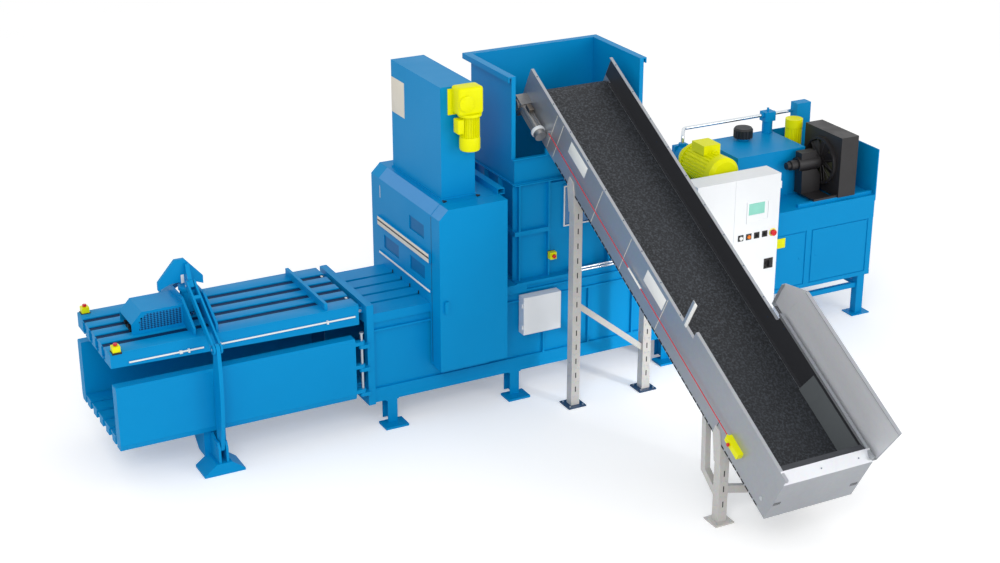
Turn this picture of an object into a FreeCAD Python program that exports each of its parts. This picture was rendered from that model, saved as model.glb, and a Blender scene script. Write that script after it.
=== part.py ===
import FreeCAD, Part
import math
import os
import re
import Sketcher

# Automatic channel baler with a bale clamp, tying unit, feed hopper, inclined belt conveyor,
# hydraulic power unit and control cabinet.
# Sizes are in millimetres. x runs along the press from the bale exit, y is 0 on the press's
# centre line and grows away from the operator's side, and z is up from the floor.
sizes = {
    # bale channel
    "channelLength": 2510, "channelWidth": 1100, "floorTop": 515, "railWidth": 170, "railPitch": 219,
    "railPlate": 20, "railWeb": 110, "railDepth": 105, "sideThickness": 128,
    "sideBottom": 410, "sideTop": 1090, "sideBevel": 20, "sideBand": 60, "hingeRod": 15,
    "hingeRodX": 2590, "hingeRodLow": 440, "hingeRodHigh": 1130, "lugThickness": 40, "lugHalf": 32,
    "rodClearance": 0.5, "runClearance": 3,
    # channel lid
    "lidLength": 2600, "lidTop": 1405, "lidUnderExit": 1266, "lidUnderHinge": 1200, "lidHalf": 575,
    "lidFlange": 18, "lidInset": 34, "lidPlateX": 2240, "lidPlate": 34, "lidPlateRise": 85,
    "lidPinX": 2632, "lidPinZ": 1330, "lidPinRadius": 16, "lidLug": 60, "lidLugHalf": 29,
    "pipeRadius": 9, "pipeHeight": 1302, "pipeStart": 179, "pipeEnd": 2554,
    # clamp round the channel
    "clampX": 988, "yokeGap": 206, "yokePlate": 25, "yokeTop": 1700, "yokeFoot": 525,
    "yokeShoulder": 1494, "yokeTopHalf": 185, "headX": 920, "headTop": 2035, "headTopHalf": 50,
    "headReach": 235, "headEndHigh": 1823, "headEndLow": 1738, "headRib": 36, "armPlate": 40,
    "armPinY": 770, "armPinZ": 283, "linkPinY": 825, "linkPinZ": 1371, "eyePinY": 135, "eyePinZ": 1790,
    "armDepth": 192, "armBulge": 100, "armReach": 901.3, "pinRadius": 25, "eyeRadius": 52, "linkPlate": 20,
    "linkGap": 54,
    "linkWidth": 76, "linkPlay": 10, "headPlate": 44, "barrelRadius": 78,
    "barrelLow": 1480, "barrelHigh": 1700, "clampRodRadius": 38, "seat": 0.3,
    "clampFootLength": 428, "clampFootTop": 160, "clampFootRise": 125, "footPlate": 25,
    "clampFootOut": 850, "clampFootIn": 560, "cheekPlate": 25, "cheekTop": 345, "cheekOut": 835,
    "crossBeam": 230, "crossBeamLow": 250, "coverStart": 330, "coverFront": 220, "coverBack": 180,
    "coverTop": 1640, "coverShoulder": 1523, "coverFold": 110, "coverSheet": 8, "coverHole": 12,
    "coverPitch": 38, "coverVentStart": 86, "coverVentColumns": 10, "coverVentRows": 4,
    # press body
    "portalX": 2664, "portalPlate": 78, "portalHalf": 623, "portalLow": 279, "portalTop": 1408,
    "bodyHalf": 607, "bodyLow": 291, "bodyTop": 1300, "bodyEnd": 7570, "beamTop": 449, "beamFlange": 22,
    "wallInset": 28, "recessLow": 1118, "recessHigh": 1206, "deckSlot": 45,
    "feedStart": 4540, "feedEnd": 5925, "ribPlate": 20,
    "legWidth": 150, "legPlateLength": 262, "legPlateWidth": 196, "legPlateY": 630,
    "legStart": 2939, "legPitch": 1454, "legThird": 6330, "legFourth": 7290, "legSheet": 12, "legFlange": 110,
    # tying unit
    "tieStart": 3395, "tieEnd": 4177, "tieHalf": 847, "tieLow": 602, "tieTop": 2387, "tieBevel": 104,
    "tieDoor": 194, "tieSheet": 12, "tieGap": 4, "tieWindow": 150,
    "tieDoorFrame": 45, "trayDepth": 190, "traySheet": 10, "hingeRadius": 11,
    "towerStart": 3573, "towerEnd": 3958, "towerFront": 539, "towerBack": 655, "towerTop": 3577,
    "towerSheet": 10, "shaftZ": 3440, "shaftY": 300, "shaftRadius": 25, "sprocketRadius": 70,
    "sprocketWidth": 24,
    "needleTop": 3290, "needleBeam": 70, "needleLength": 1890, "needleRadius": 14,
    "gearLength": 250, "gearDepth": 190, "gearTop": 3640, "gearLow": 3250, "motorRadius": 78,
    "motorLow": 3020, "cowlLow": 2830, "gearFin": 9, "gearPlate": 14,
    # hopper and chute
    "hopperStart": 4439, "hopperEnd": 5955, "hopperFront": 500, "hopperBack": 493, "hopperLow": 2397,
    "hopperSill": 2679, "hopperTop": 3567, "hopperSheet": 12, "rimWidth": 70, "rimDepth": 60,
    "chuteInset": 32, "chuteFlange": 50, "chuteDoorStart": 4862, "chuteDoorEnd": 5560, "chuteDoorLow": 1733,
    "chuteDoorHigh": 2364, "doorSheet": 20, "doorFrame": 60, "doorKnuckle": 7, "knuckleLength": 45,
    "windowStart": 5035, "windowEnd": 5330,
    "windowLow": 1850, "windowHigh": 2280, "glass": 6,
    # small boxes
    "boxStart": 4443, "boxEnd": 4896, "boxLow": 750, "boxHigh": 1180, "boxDepth": 110, "boxDoor": 22,
    "stopBox": 78, "stopHeight": 62, "stopBase": 16, "stopStem": 9, "stopHead": 21, "stopTravel": 6,
    "lidStopX": 70, "chuteStopX": 4858, "chuteStopZ": 1555,
    # ram
    "ramLength": 1480, "ramFace": 60, "ramSkin": 30, "ramX": 5935, "ramClearance": 5,
    "barrelX": 6005, "ramBarrel": 150, "ramBore": 126, "ramRod": 90, "ramRodEnd": 7515, "rearPlate": 40,
    "piston": 60, "gland": 45,
    # hydraulic power unit
    "tankStart": 7584, "tankEnd": 9236, "tankFront": 548, "tankBack": 665, "tankLow": 498,
    "tankBand": 1426, "tankDeck": 1500, "tankTop": 2058, "tankStep": 60, "tankRecess": 8530, "tankLip": 10,
    "tankSheet": 14, "legBox": 100, "tankLegX": 9118, "tankFoot": 260, "strutLow": 340, "strutHigh": 400,
    "tankDoorLow": 560, "tankDoorHigh": 1205, "leftDoorStart": 7668, "leftDoorEnd": 8238,
    "rightDoorStart": 8350, "rightDoorEnd": 9133, "tankDoorSheet": 10, "motorDeck": 1825, "standStart": 6800,
    "standSheet": 30, "standPost": 90, "capX": 8035, "capY": 500, "capRadius": 115, "capHeight": 120,
    "capNeck": 70, "capNeckRise": 30, "filterX": 8450, "filterY": 600, "valveX": 8900, "valveY": 560,
    "mainMotorX": 7130, "mainMotorRise": 225, "mainMotorRadius": 195, "mainMotorFront": 470,
    "mainMotorBack": 180, "motorFin": 14, "cowlDepth": 130, "bellDepth": 120, "pumpDepth": 190,
    "pumpRadius": 95, "pipeBore": 21, "pipeRunZ": 2280, "auxMotorX": 8640, "auxMotorY": 330,
    "auxMotorRadius": 100, "coolerStart": 8700, "coolerThickness": 240, "coolerFront": 520,
    "coolerBack": 180, "coolerLow": 1540, "coolerHigh": 2262, "fanRadius": 255,
    "fanHub": 62, "fanShaft": 14, "fanDepth": 60, "fanMotorLength": 300, "fanMotorRadius": 85,
    "coolerRail": 40,
    # control cabinet
    "cabinetStart": 6490, "cabinetEnd": 7590, "cabinetDepth": 282,
    "cabinetPlinth": 100, "cabinetTop": 2140, "cabinetSheet": 15, "cabinetDoorSheet": 22,
    "cabinetSeam": 6990, "panelStart": 7150, "panelEnd": 7460, "panelLow": 1610, "panelHigh": 1860,
    "controlZ": 1450, "controlPitch": 108, "controlStart": 7085, "controlRadius": 15, "controlTravel": 5,
    "switchX": 7482, "switchZ": 1082, "switchHalf": 55,
    # inclined conveyor
    "inclineAngle": 29.3, "headY": -185, "headZ": 3521, "beltStart": 4800, "beltEnd": 5790,
    "sideRun": 3690, "conveyorRun": 5420, "sideHeight": 505, "sideSheet": 6, "sideFlange": 34,
    "beltDrop": 257, "beltThickness": 8, "drumRadius": 107, "drumInset": 135, "beltGap": 22,
    "drumShaft": 22, "troughRise": 95, "wingStart": 3514, "wingCorner": 3807,
    "wingHigh": 545, "wingEdge": 321, "wingGap": 40, "endPlate": 8, "supportY": -1090,
    "supportBox": 100, "supportFoot": 210,
    "lowSupportY": -3903, "cordDrop": 283, "cordRadius": 3, "cordStart": 640,
    "cordEnd": 4640, "cordOut": 26, "pullSwitchLength": 230, "pullSwitchWidth": 62, "doorRecess": 320,
    "driveLength": 340, "driveRadius": 62,
}

doc = FreeCAD.newDocument("recycling_baler")
sheet = doc.addObject("Spreadsheet::Sheet", "Sizes")
for row, (alias, value) in enumerate(sizes.items(), 1):
    sheet.set(f"A{row}", alias)
    sheet.set(f"B{row}", str(value))
    sheet.setAlias(f"B{row}", alias)
doc.recompute()
nodes = []

# The model's origin is the middle of its footprint on the floor.
originX = "((tankLegX + tankFoot / 2) / 2)"
originY = ("((armReach + headY - (conveyorRun + 2 * sideFlange) * cos(inclineAngle)"
           " - wingHigh * sin(inclineAngle)) / 2)")


def formula(text):
    """The text with each size's name written as its cell in the sheet."""
    return re.sub(r"[A-Za-z]\w*", lambda word: "Sizes." + word[0] if word[0] in sizes else word[0], str(text))


def number(text):
    """What a formula of the named sizes gives now."""
    return float(sheet.evalExpression(formula(text)))


def bind(thing, name, text):
    thing.setExpression(name, formula(text))


def spot(thing, x, y, z):
    bind(thing, "Placement.Base.x", x)
    bind(thing, "Placement.Base.y", y)
    bind(thing, "Placement.Base.z", z)


def box(x, y, z):
    """A block between two formulas along each axis."""
    piece = doc.addObject("Part::Box", "Block")
    for name, span in (("Length", x), ("Width", y), ("Height", z)):
        bind(piece, name, f"({span[1]}) - ({span[0]})")
    spot(piece, x[0], y[0], z[0])
    return piece


def rod(axis, radius, start, end, across, up):
    """A round bar along x, y or z; across and up are its centre on the other two axes."""
    piece = doc.addObject("Part::Cylinder", "Bar")
    bind(piece, "Radius", radius)
    bind(piece, "Height", f"({end}) - ({start})")
    if axis == "x":
        piece.Placement = FreeCAD.Placement(FreeCAD.Vector(), FreeCAD.Rotation(FreeCAD.Vector(0, 1, 0), 90))
        spot(piece, start, across, up)
    elif axis == "y":
        piece.Placement = FreeCAD.Placement(FreeCAD.Vector(), FreeCAD.Rotation(FreeCAD.Vector(1, 0, 0), -90))
        spot(piece, across, start, up)
    else:
        spot(piece, across, up, start)
    return piece


def stem(axis, start, end, across, up):
    """An eight-sided push-button stem, which slides in its hole without turning."""
    piece = doc.addObject("Part::Prism", "Stem")
    piece.Polygon = 8
    bind(piece, "Circumradius", "stopStem")
    bind(piece, "Height", f"({end}) - ({start})")
    if axis == "x":
        piece.Placement = FreeCAD.Placement(FreeCAD.Vector(), FreeCAD.Rotation(FreeCAD.Vector(0, 1, 0), 90))
        spot(piece, start, across, up)
    elif axis == "y":
        piece.Placement = FreeCAD.Placement(FreeCAD.Vector(), FreeCAD.Rotation(FreeCAD.Vector(1, 0, 0), -90))
        spot(piece, across, start, up)
    else:
        spot(piece, across, up, start)
    return piece


def draw(sketch, loop):
    """Add one closed outline, each corner tied to its two formulas."""
    first = sketch.GeometryCount
    corners = [FreeCAD.Vector(number(point[0]), number(point[1]), 0) for point in loop]
    for index, corner in enumerate(corners):
        sketch.addGeometry(Part.LineSegment(corner, corners[(index + 1) % len(corners)]))
    for index in range(len(corners)):
        following = first + (index + 1) % len(corners)
        sketch.addConstraint(Sketcher.Constraint("Coincident", first + index, 2, following, 1))
    for index, point in enumerate(loop):
        for kind, text in zip(("DistanceX", "DistanceY"), point):
            tie = Sketcher.Constraint(kind, -1, 1, first + index, 1, number(text))
            bind(sketch, f"Constraints[{sketch.addConstraint(tie)}]", text)


def draw_hole(sketch, across, up, radius):
    centre = FreeCAD.Vector(number(across), number(up), 0)
    ring = sketch.addGeometry(Part.Circle(centre, FreeCAD.Vector(0, 0, 1), number(radius)))
    ties = (
        (Sketcher.Constraint("Radius", ring, number(radius)), radius),
        (Sketcher.Constraint("DistanceX", -1, 1, ring, 3, number(across)), across),
        (Sketcher.Constraint("DistanceY", -1, 1, ring, 3, number(up)), up),
    )
    for tie, text in ties:
        bind(sketch, f"Constraints[{sketch.addConstraint(tie)}]", text)


def plate(plane, outline, start, end, holes=(), windows=()):
    """A sketched outline, with holes and windows, padded between two formulas across its plane."""
    body = doc.addObject("PartDesign::Body", "Plate")
    sketch = body.newObject("Sketcher::SketchObject", "Outline")
    base = [item for item in body.Origin.OriginFeatures if item.Role == plane + "_Plane"][0]
    sketch.AttachmentSupport = [(base, "")]
    sketch.MapMode = "FlatFace"
    for loop in (outline,) + tuple(windows):
        draw(sketch, loop)
    for hole in holes:
        draw_hole(sketch, *hole)
    pad = body.newObject("PartDesign::Pad", "Pad")
    pad.Profile = sketch
    bind(pad, "Length", f"({end}) - ({start})")
    if plane == "YZ":
        spot(body, start, "0", "0")
    elif plane == "XZ":
        spot(body, "0", end, "0")
    else:
        spot(body, "0", "0", start)
    return body


def rectangle(across, up):
    return [(across[0], up[0]), (across[1], up[0]), (across[1], up[1]), (across[0], up[1])]


def solid(shape):
    """A form that only the modelling kernel's own functions give, sized from the sheet."""
    piece = doc.addObject("Part::Feature", "Form")
    piece.Shape = shape
    return piece


def fuse(pieces):
    if len(pieces) == 1:
        return pieces[0]
    whole = doc.addObject("Part::MultiFuse", "Joined")
    whole.Shapes = pieces
    return whole


def cut(piece, tools):
    rest = doc.addObject("Part::Cut", "Rest")
    rest.Base = piece
    rest.Tool = fuse(tools)
    return rest


def node(label, pieces, inclined=False):
    """One sub-part of the machine: its pieces joined, and set in the machine's frame."""
    whole = doc.addObject("Part::MultiFuse" if len(pieces) > 1 else "Part::Compound", "Part_" + label)
    if len(pieces) > 1:
        whole.Shapes = pieces
    else:
        whole.Links = pieces
    whole.Label = label
    if inclined:
        whole.Placement = FreeCAD.Placement(FreeCAD.Vector(), FreeCAD.Rotation(FreeCAD.Vector(1, 0, 0), 1))
        bind(whole, "Placement.Rotation.Angle", "inclineAngle")
        spot(whole, f"0 - {originX}", f"headY - {originY}", "headZ")
    else:
        spot(whole, f"0 - {originX}", f"0 - {originY}", "0")
    nodes.append(whole)
    return whole


def both(span):
    """A span of y on the operator's side and the same span on the far side."""
    return (span, (f"0 - ({span[1]})", f"0 - ({span[0]})"))


def prism(points, axis, start, end):
    """Straight-sided outline pushed along an axis, for outlines that come from a loop."""
    wire = Part.makePolygon(points + [points[0]])
    face = Part.Face(wire)
    face.translate(axis * start)
    return face.extrude(axis * (end - start))


def pipe(points, radius, bend):
    """A pipe of straight runs joined by bends of one radius."""
    runs = []
    last = points[0]
    for before, corner, after in zip(points, points[1:], points[2:]):
        inward = (before - corner).normalize()
        outward = (after - corner).normalize()
        half = inward.getAngle(outward) / 2
        setback = bend / math.tan(half)
        start = corner + inward * setback
        centre = corner + (inward + outward).normalize() * (bend / math.sin(half))
        turn = 180 - math.degrees(2 * half)
        runs.append(Part.makeCylinder(radius, (start - last).Length, last, start - last))
        ring = Part.Face(Part.Wire(Part.makeCircle(radius, start, inward)))
        runs.append(ring.revolve(centre, outward.cross(inward), turn))
        last = corner + outward * setback
    runs.append(Part.makeCylinder(radius, (points[-1] - last).Length, last, points[-1] - last))
    return runs[0].fuse(runs[1:])


def finned(axis, radius, fin, start, end, centre, count):
    """A motor's frame: a round body with cooling fins along it."""
    side = FreeCAD.Vector(0, 0, 1) if abs(axis.z) < 0.5 else FreeCAD.Vector(1, 0, 0)
    other = axis.cross(side)
    points = []
    for index in range(count):
        for share, reach in ((-0.3, radius), (-0.18, radius + fin), (0.18, radius + fin), (0.3, radius)):
            turn = 2 * math.pi * (index + share) / count
            points.append(centre + side * (math.cos(turn) * reach) + other * (math.sin(turn) * reach))
    return prism(points, axis, start, end)


# ---- bale channel ----

railCentres = [f"{place} * railPitch" for place in (-2, -1, 0, 1, 2)]


def make_channel_floor():
    pieces = []
    for centre in railCentres:
        pieces.append(box(("0", "portalX"), (f"{centre} - railWidth / 2", f"{centre} + railWidth / 2"),
                          ("floorTop - railPlate", "floorTop")))
        pieces.append(box(("0", "portalX"), (f"{centre} - railWeb / 2", f"{centre} + railWeb / 2"),
                          ("floorTop - railDepth", "floorTop - railPlate")))
    half = "2 * railPitch + railWidth / 2"
    for centre in ("clampX", "portalX - crossBeam"):
        pieces.append(box((f"{centre} - crossBeam / 4", f"{centre} + crossBeam / 4"), (f"0 - ({half})", half),
                          ("floorTop - railDepth - railPlate", "floorTop - railDepth + railPlate")))
    node("channel_floor", pieces)


def make_side_panel(label, side):
    inner = "channelWidth / 2"
    outer = "channelWidth / 2 + sideThickness"
    outline = [
        (inner, "sideBottom"), (f"{outer} - sideBevel", "sideBottom"), (outer, "sideBottom + sideBand"),
        (outer, "sideTop - sideBevel"), (f"{outer} - sideBevel", "sideTop"), (inner, "sideTop"),
    ]
    if side < 0:
        outline = [(f"0 - ({across})", up) for across, up in reversed(outline)]
    pieces = [plate("YZ", outline, "0", "channelLength")]
    middle = f"({side}) * (channelWidth / 2 + sideThickness - lugHalf)"
    for low in panelLugs:
        lug = [
            box(("channelLength - lugHalf", "hingeRodX"), (f"{middle} - lugHalf", f"{middle} + lugHalf"),
                (low, f"{low} + lugThickness")),
            rod("z", "lugHalf", low, f"{low} + lugThickness", "hingeRodX", middle),
        ]
        bore = rod("z", "hingeRod + rodClearance", f"{low} - 1", f"{low} + lugThickness + 1", "hingeRodX",
                   middle)
        pieces.append(cut(fuse(lug), [bore]))
    node(label, pieces)


panelLugs = ("sideBottom + sideBand", "(sideBottom + sideTop) / 2", "sideTop - 2 * lugThickness")


def make_hinge_pins():
    """Upright rods of the side panels, each with its head, and the lid's two pins."""
    pieces = []
    for side in (-1, 1):
        middle = f"({side}) * (channelWidth / 2 + sideThickness - lugHalf)"
        pieces.append(rod("z", "hingeRod", "hingeRodLow", "hingeRodHigh", "hingeRodX", middle))
        pieces.append(rod("z", "hingeRod + 8", "hingeRodHigh - seat", "hingeRodHigh + 14", "hingeRodX",
                          middle))
        lug = f"({side}) * (lidHalf - 2 * lidLug)"
        pieces.append(rod("y", "lidPinRadius", f"{lug} - lidLug - 14", f"{lug} + lidLug + 14", "lidPinX",
                          "lidPinZ"))
    node("hinge_pins", pieces)


def make_channel_lid():
    pieces = []
    under = "(lidUnderExit + (lidUnderHinge - lidUnderExit) * ({x}) / lidLength)"
    outline = [
        ("0", "lidUnderExit"), ("lidLength", "lidUnderHinge"), ("lidLength", "lidTop"), ("0", "lidTop"),
    ]
    web = [
        ("0", "lidUnderExit + lidFlange"), ("lidLength", "lidUnderHinge + lidFlange"),
        ("lidLength", "lidTop - lidFlange"), ("0", "lidTop - lidFlange"),
    ]
    for place in (-2, -1, 0, 1, 2):
        centre = f"({place}) * railPitch"
        low = f"{centre} - railWidth / 2" if place > -2 else "0 - lidHalf"
        high = f"{centre} + railWidth / 2" if place < 2 else "lidHalf"
        bar = plate("XZ", outline, low, high)
        grooves = []
        if place > -2:
            grooves.append(plate("XZ", web, f"{low} - 1", f"{low} + lidInset"))
        if place < 2:
            grooves.append(plate("XZ", web, f"{high} - lidInset", f"{high} + 1"))
        pieces.append(cut(bar, grooves))
    pieces.append(box(("lidPlateX", "lidPlateX + lidPlate"), ("0 - lidHalf + lidPlate", "lidHalf - lidPlate"),
                      ("lidTop - lidFlange", "lidTop + lidPlateRise")))
    for x in ("lidLength - 3 * lidPlate", "clampX - lidPlate", "lidPlate"):
        pieces.append(box((x, f"{x} + lidPlate"), ("0 - lidHalf + lidInset", "lidHalf - lidInset"),
                          (under.format(x=x) + " + lidFlange / 2", "lidTop - lidFlange / 2")))
    for start in ("clampX - yokeGap / 2 - yokePlate", "clampX + yokeGap / 2"):
        yoke = [
            ("0 - yokeFoot", "lidTop"), ("0 - yokeFoot", "yokeShoulder"), ("0 - yokeTopHalf", "yokeTop"),
            ("yokeTopHalf", "yokeTop"), ("yokeFoot", "yokeShoulder"), ("yokeFoot", "lidTop"),
        ]
        pieces.append(plate("YZ", yoke, start, f"{start} + yokePlate"))
    for side in (-1, 1):
        lug = f"({side}) * (lidHalf - 2 * lidLug)"
        ear = [
            box(("lidLength - lidPlate", "lidPinX"), (f"{lug} - lidLug / 2", f"{lug} + lidLug / 2"),
                ("lidPinZ - lidLugHalf", "lidPinZ + lidLugHalf")),
            rod("y", "lidLugHalf", f"{lug} - lidLug / 2", f"{lug} + lidLug / 2", "lidPinX", "lidPinZ"),
        ]
        bore = rod("y", "lidPinRadius + rodClearance", f"{lug} - lidLug", f"{lug} + lidLug", "lidPinX",
                   "lidPinZ")
        pieces.append(cut(fuse(ear), [bore]))
    node("channel_lid", pieces)


def make_lid_pipe():
    """Grease pipe clipped along the operator's side of the lid."""
    y = "0 - lidHalf - pipeRadius - seat"
    pieces = [
        rod("x", "pipeRadius", "pipeStart", "clampX - linkGap", y, "pipeHeight"),
        rod("x", "pipeRadius", "clampX + linkGap", "pipeEnd", y, "pipeHeight"),
    ]
    for x in ("clampX - 4 * linkGap", "clampX + 2 * linkGap", "lidPlateX"):
        pieces.append(box((x, f"{x} + 2 * pipeRadius"), ("0 - lidHalf - 3 * pipeRadius", "0 - lidHalf"),
                          ("pipeHeight - 2 * pipeRadius", "pipeHeight + 2 * pipeRadius")))
    node("lid_pipe", pieces)


# ---- clamp round the channel ----


def make_clamp_base():
    """Cross beam under the channel with a foot and a clevis for each arm."""
    half = "crossBeam / 2"
    pieces = []
    reach = "(clampFootIn + footPlate)"
    low = "clampFootRise - footPlate"
    beam = rectangle((f"0 - {reach}", reach), (low, "floorTop - railDepth - railPlate"))
    arch = [
        ("0 - clampFootIn + railWidth", f"{low} - 1"), ("clampFootIn - railWidth", f"{low} - 1"),
        ("clampFootIn - 2 * railWidth", "crossBeamLow"), ("2 * railWidth - clampFootIn", "crossBeamLow"),
    ]
    cross = plate("YZ", beam, f"clampX - {half}", f"clampX + {half}")
    pieces.append(cut(cross, [plate("YZ", arch, f"clampX - {half} - 1", f"clampX + {half} + 1")]))
    foot = [
        ("clampX - clampFootLength / 2", "0"), ("clampX + clampFootLength / 2", "0"),
        ("clampX + clampFootLength / 2", "footPlate"), ("clampX + clampFootTop / 2", "clampFootRise"),
        ("clampX - clampFootTop / 2", "clampFootRise"), ("clampX - clampFootLength / 2", "footPlate"),
    ]
    for side in (-1, 1):
        near, far = (f"({side}) * clampFootIn", f"({side}) * clampFootOut")
        low, high = (far, near) if side < 0 else (near, far)
        pieces.append(plate("XZ", foot, low, high))
        cheek = [
            (f"({side}) * (clampFootIn - railWidth)", "clampFootRise - footPlate"),
            (f"({side}) * cheekOut", "clampFootRise - footPlate"), (f"({side}) * cheekOut", "armPinZ"),
            (f"({side}) * (armPinY + lugHalf)", "cheekTop"),
            (f"({side}) * (armPinY - 2 * lugHalf)", "cheekTop"),
            (f"({side}) * (clampFootIn + lugHalf)", "floorTop - railDepth - railPlate"),
            (f"({side}) * (clampFootIn - railWidth)", "floorTop - railDepth - railPlate"),
        ]
        if side < 0:
            cheek = list(reversed(cheek))
        bore = [(f"({side}) * armPinY", "armPinZ", "pinRadius + rodClearance")]
        for start in ("clampX - linkGap / 2 - cheekPlate", "clampX + linkGap / 2"):
            pieces.append(plate("YZ", cheek, start, f"{start} + cheekPlate", holes=bore))
    node("clamp_base", pieces)


def make_clamp_arm(label, side):
    """Bowed arm with a hole at the foot and the pin of the links at its head."""
    axis = FreeCAD.Vector(1, 0, 0)
    start = number("clampX - armPlate / 2")
    low = FreeCAD.Vector(0, side * number("armPinY"), number("armPinZ"))
    high = FreeCAD.Vector(0, side * number("linkPinY"), number("linkPinZ"))
    reach = number("eyeRadius")
    deep = number("armDepth")
    bulge = number("armBulge")
    outward = FreeCAD.Vector(0, side, 0)
    middle = (low + high) * 0.5
    outer = Part.Arc(low + outward * reach, middle + outward * bulge, high + outward * reach).toShape()
    inner = Part.Arc(high - outward * reach, middle + outward * (bulge - deep),
                     low - outward * reach).toShape()
    top = Part.LineSegment(high + outward * reach, high - outward * reach).toShape()
    foot = Part.LineSegment(low - outward * reach, low + outward * reach).toShape()
    face = Part.Face(Part.Wire([outer, top, inner, foot]))
    face.translate(axis * start)
    blade = face.extrude(axis * number("armPlate"))
    for place in (low, high):
        blade = blade.fuse(Part.makeCylinder(reach, number("armPlate"), place + axis * start, axis))
    wide = number("linkGap / 2 + linkPlate + linkPlay / 2")
    pin = Part.makeCylinder(number("pinRadius"), 2 * wide, high + axis * (number("clampX") - wide), axis)
    wide = number("linkGap / 2 + cheekPlate + linkPlay / 2")
    shaft = Part.makeCylinder(number("pinRadius"), 2 * wide, low + axis * (number("clampX") - wide), axis)
    node(label, [solid(blade.fuse([pin, shaft]).removeSplitter())])


def make_clamp_links(label, side):
    """Two flat bars that hang from the crosshead pin and loop round the arm's pin."""
    axis = FreeCAD.Vector(1, 0, 0)
    upper = FreeCAD.Vector(0, side * number("eyePinY"), number("eyePinZ"))
    lower = FreeCAD.Vector(0, side * number("linkPinY"), number("linkPinZ"))
    along = (lower - upper).normalize()
    across = axis.cross(along) * number("linkWidth / 2")
    bars = []
    for start in (number("clampX - linkGap / 2 - linkPlate"), number("clampX + linkGap / 2")):
        bar = prism([upper + across, lower + across, lower - across, upper - across], axis, start,
                    start + number("linkPlate"))
        for place in (upper, lower):
            bar = bar.fuse(Part.makeCylinder(number("eyeRadius"), number("linkPlate"), place + axis * start,
                                             axis))
        hole = number("pinRadius + linkPlay")
        bar = bar.cut(Part.makeCylinder(hole, 2 * number("linkPlate"), lower + axis * (start - 1), axis))
        hole = number("pinRadius + rodClearance")
        bars.append(bar.cut(Part.makeCylinder(hole, 2 * number("linkPlate"), upper + axis * (start - 1),
                                              axis)))
    spacer = prism([upper + along * 160 + across, upper + along * 200 + across, upper + along * 200 - across,
                    upper + along * 160 - across], axis, number("clampX - linkGap / 2"),
                   number("clampX + linkGap / 2"))
    node(label, [solid(bars[0].fuse([bars[1], spacer]).removeSplitter())])


def make_clamp_crosshead():
    """Head plate with the two link pins, standing on the clamp cylinder's barrel."""
    outline = [
        ("0 - eyePinY - eyeRadius", "eyePinZ"), ("0 - eyePinY", "eyePinZ - eyeRadius"),
        ("0 - barrelRadius", "barrelHigh - seat"), ("barrelRadius", "barrelHigh - seat"),
        ("eyePinY", "eyePinZ - eyeRadius"), ("eyePinY + eyeRadius", "eyePinZ"),
        ("eyePinY", "eyePinZ + eyeRadius"), ("0 - eyePinY", "eyePinZ + eyeRadius"),
    ]
    pieces = [plate("YZ", outline, "clampX - headPlate / 2", "clampX + headPlate / 2")]
    gable = [
        ("headX - headTopHalf", "headTop"), ("headX - headReach", "headEndHigh"),
        ("headX - headReach", "headEndLow"), ("headX - 2 * headTopHalf", "eyePinZ"),
        ("headX + 2 * headTopHalf", "eyePinZ"), ("headX + headReach", "headEndLow"),
        ("headX + headReach", "headEndHigh"), ("headX + headTopHalf", "headTop"),
    ]
    pieces.append(plate("XZ", gable, "0 - headRib / 2", "headRib / 2"))
    crest = [
        ("0 - eyePinY", "eyePinZ"), ("eyePinY", "eyePinZ"), ("headTopHalf", "headTop - headTopHalf"),
        ("0 - headTopHalf", "headTop - headTopHalf"),
    ]
    pieces.append(plate("YZ", crest, "clampX - headPlate / 2", "clampX + headPlate / 2"))
    wide = "(linkGap / 2 + linkPlate + linkPlay / 2)"
    for side in (-1, 1):
        pieces.append(rod("x", "pinRadius", f"clampX - {wide}", f"clampX + {wide}", f"({side}) * eyePinY",
                          "eyePinZ"))
    barrel = rod("z", "barrelRadius", "barrelLow", "barrelHigh", "clampX", "0")
    bore = rod("z", "clampRodRadius + rodClearance", "barrelLow - 1", "barrelHigh - headPlate", "clampX", "0")
    pieces.append(cut(barrel, [bore]))
    node("clamp_crosshead", pieces)


def make_clamp_rod():
    pieces = [
        rod("z", "clampRodRadius", "lidTop + seat + footPlate / 2", "barrelHigh - headPlate - 2", "clampX",
            "0"),
        rod("z", "clampRodRadius + 14", "lidTop + seat", "lidTop + seat + footPlate", "clampX", "0"),
    ]
    node("clamp_rod", pieces)


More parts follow.
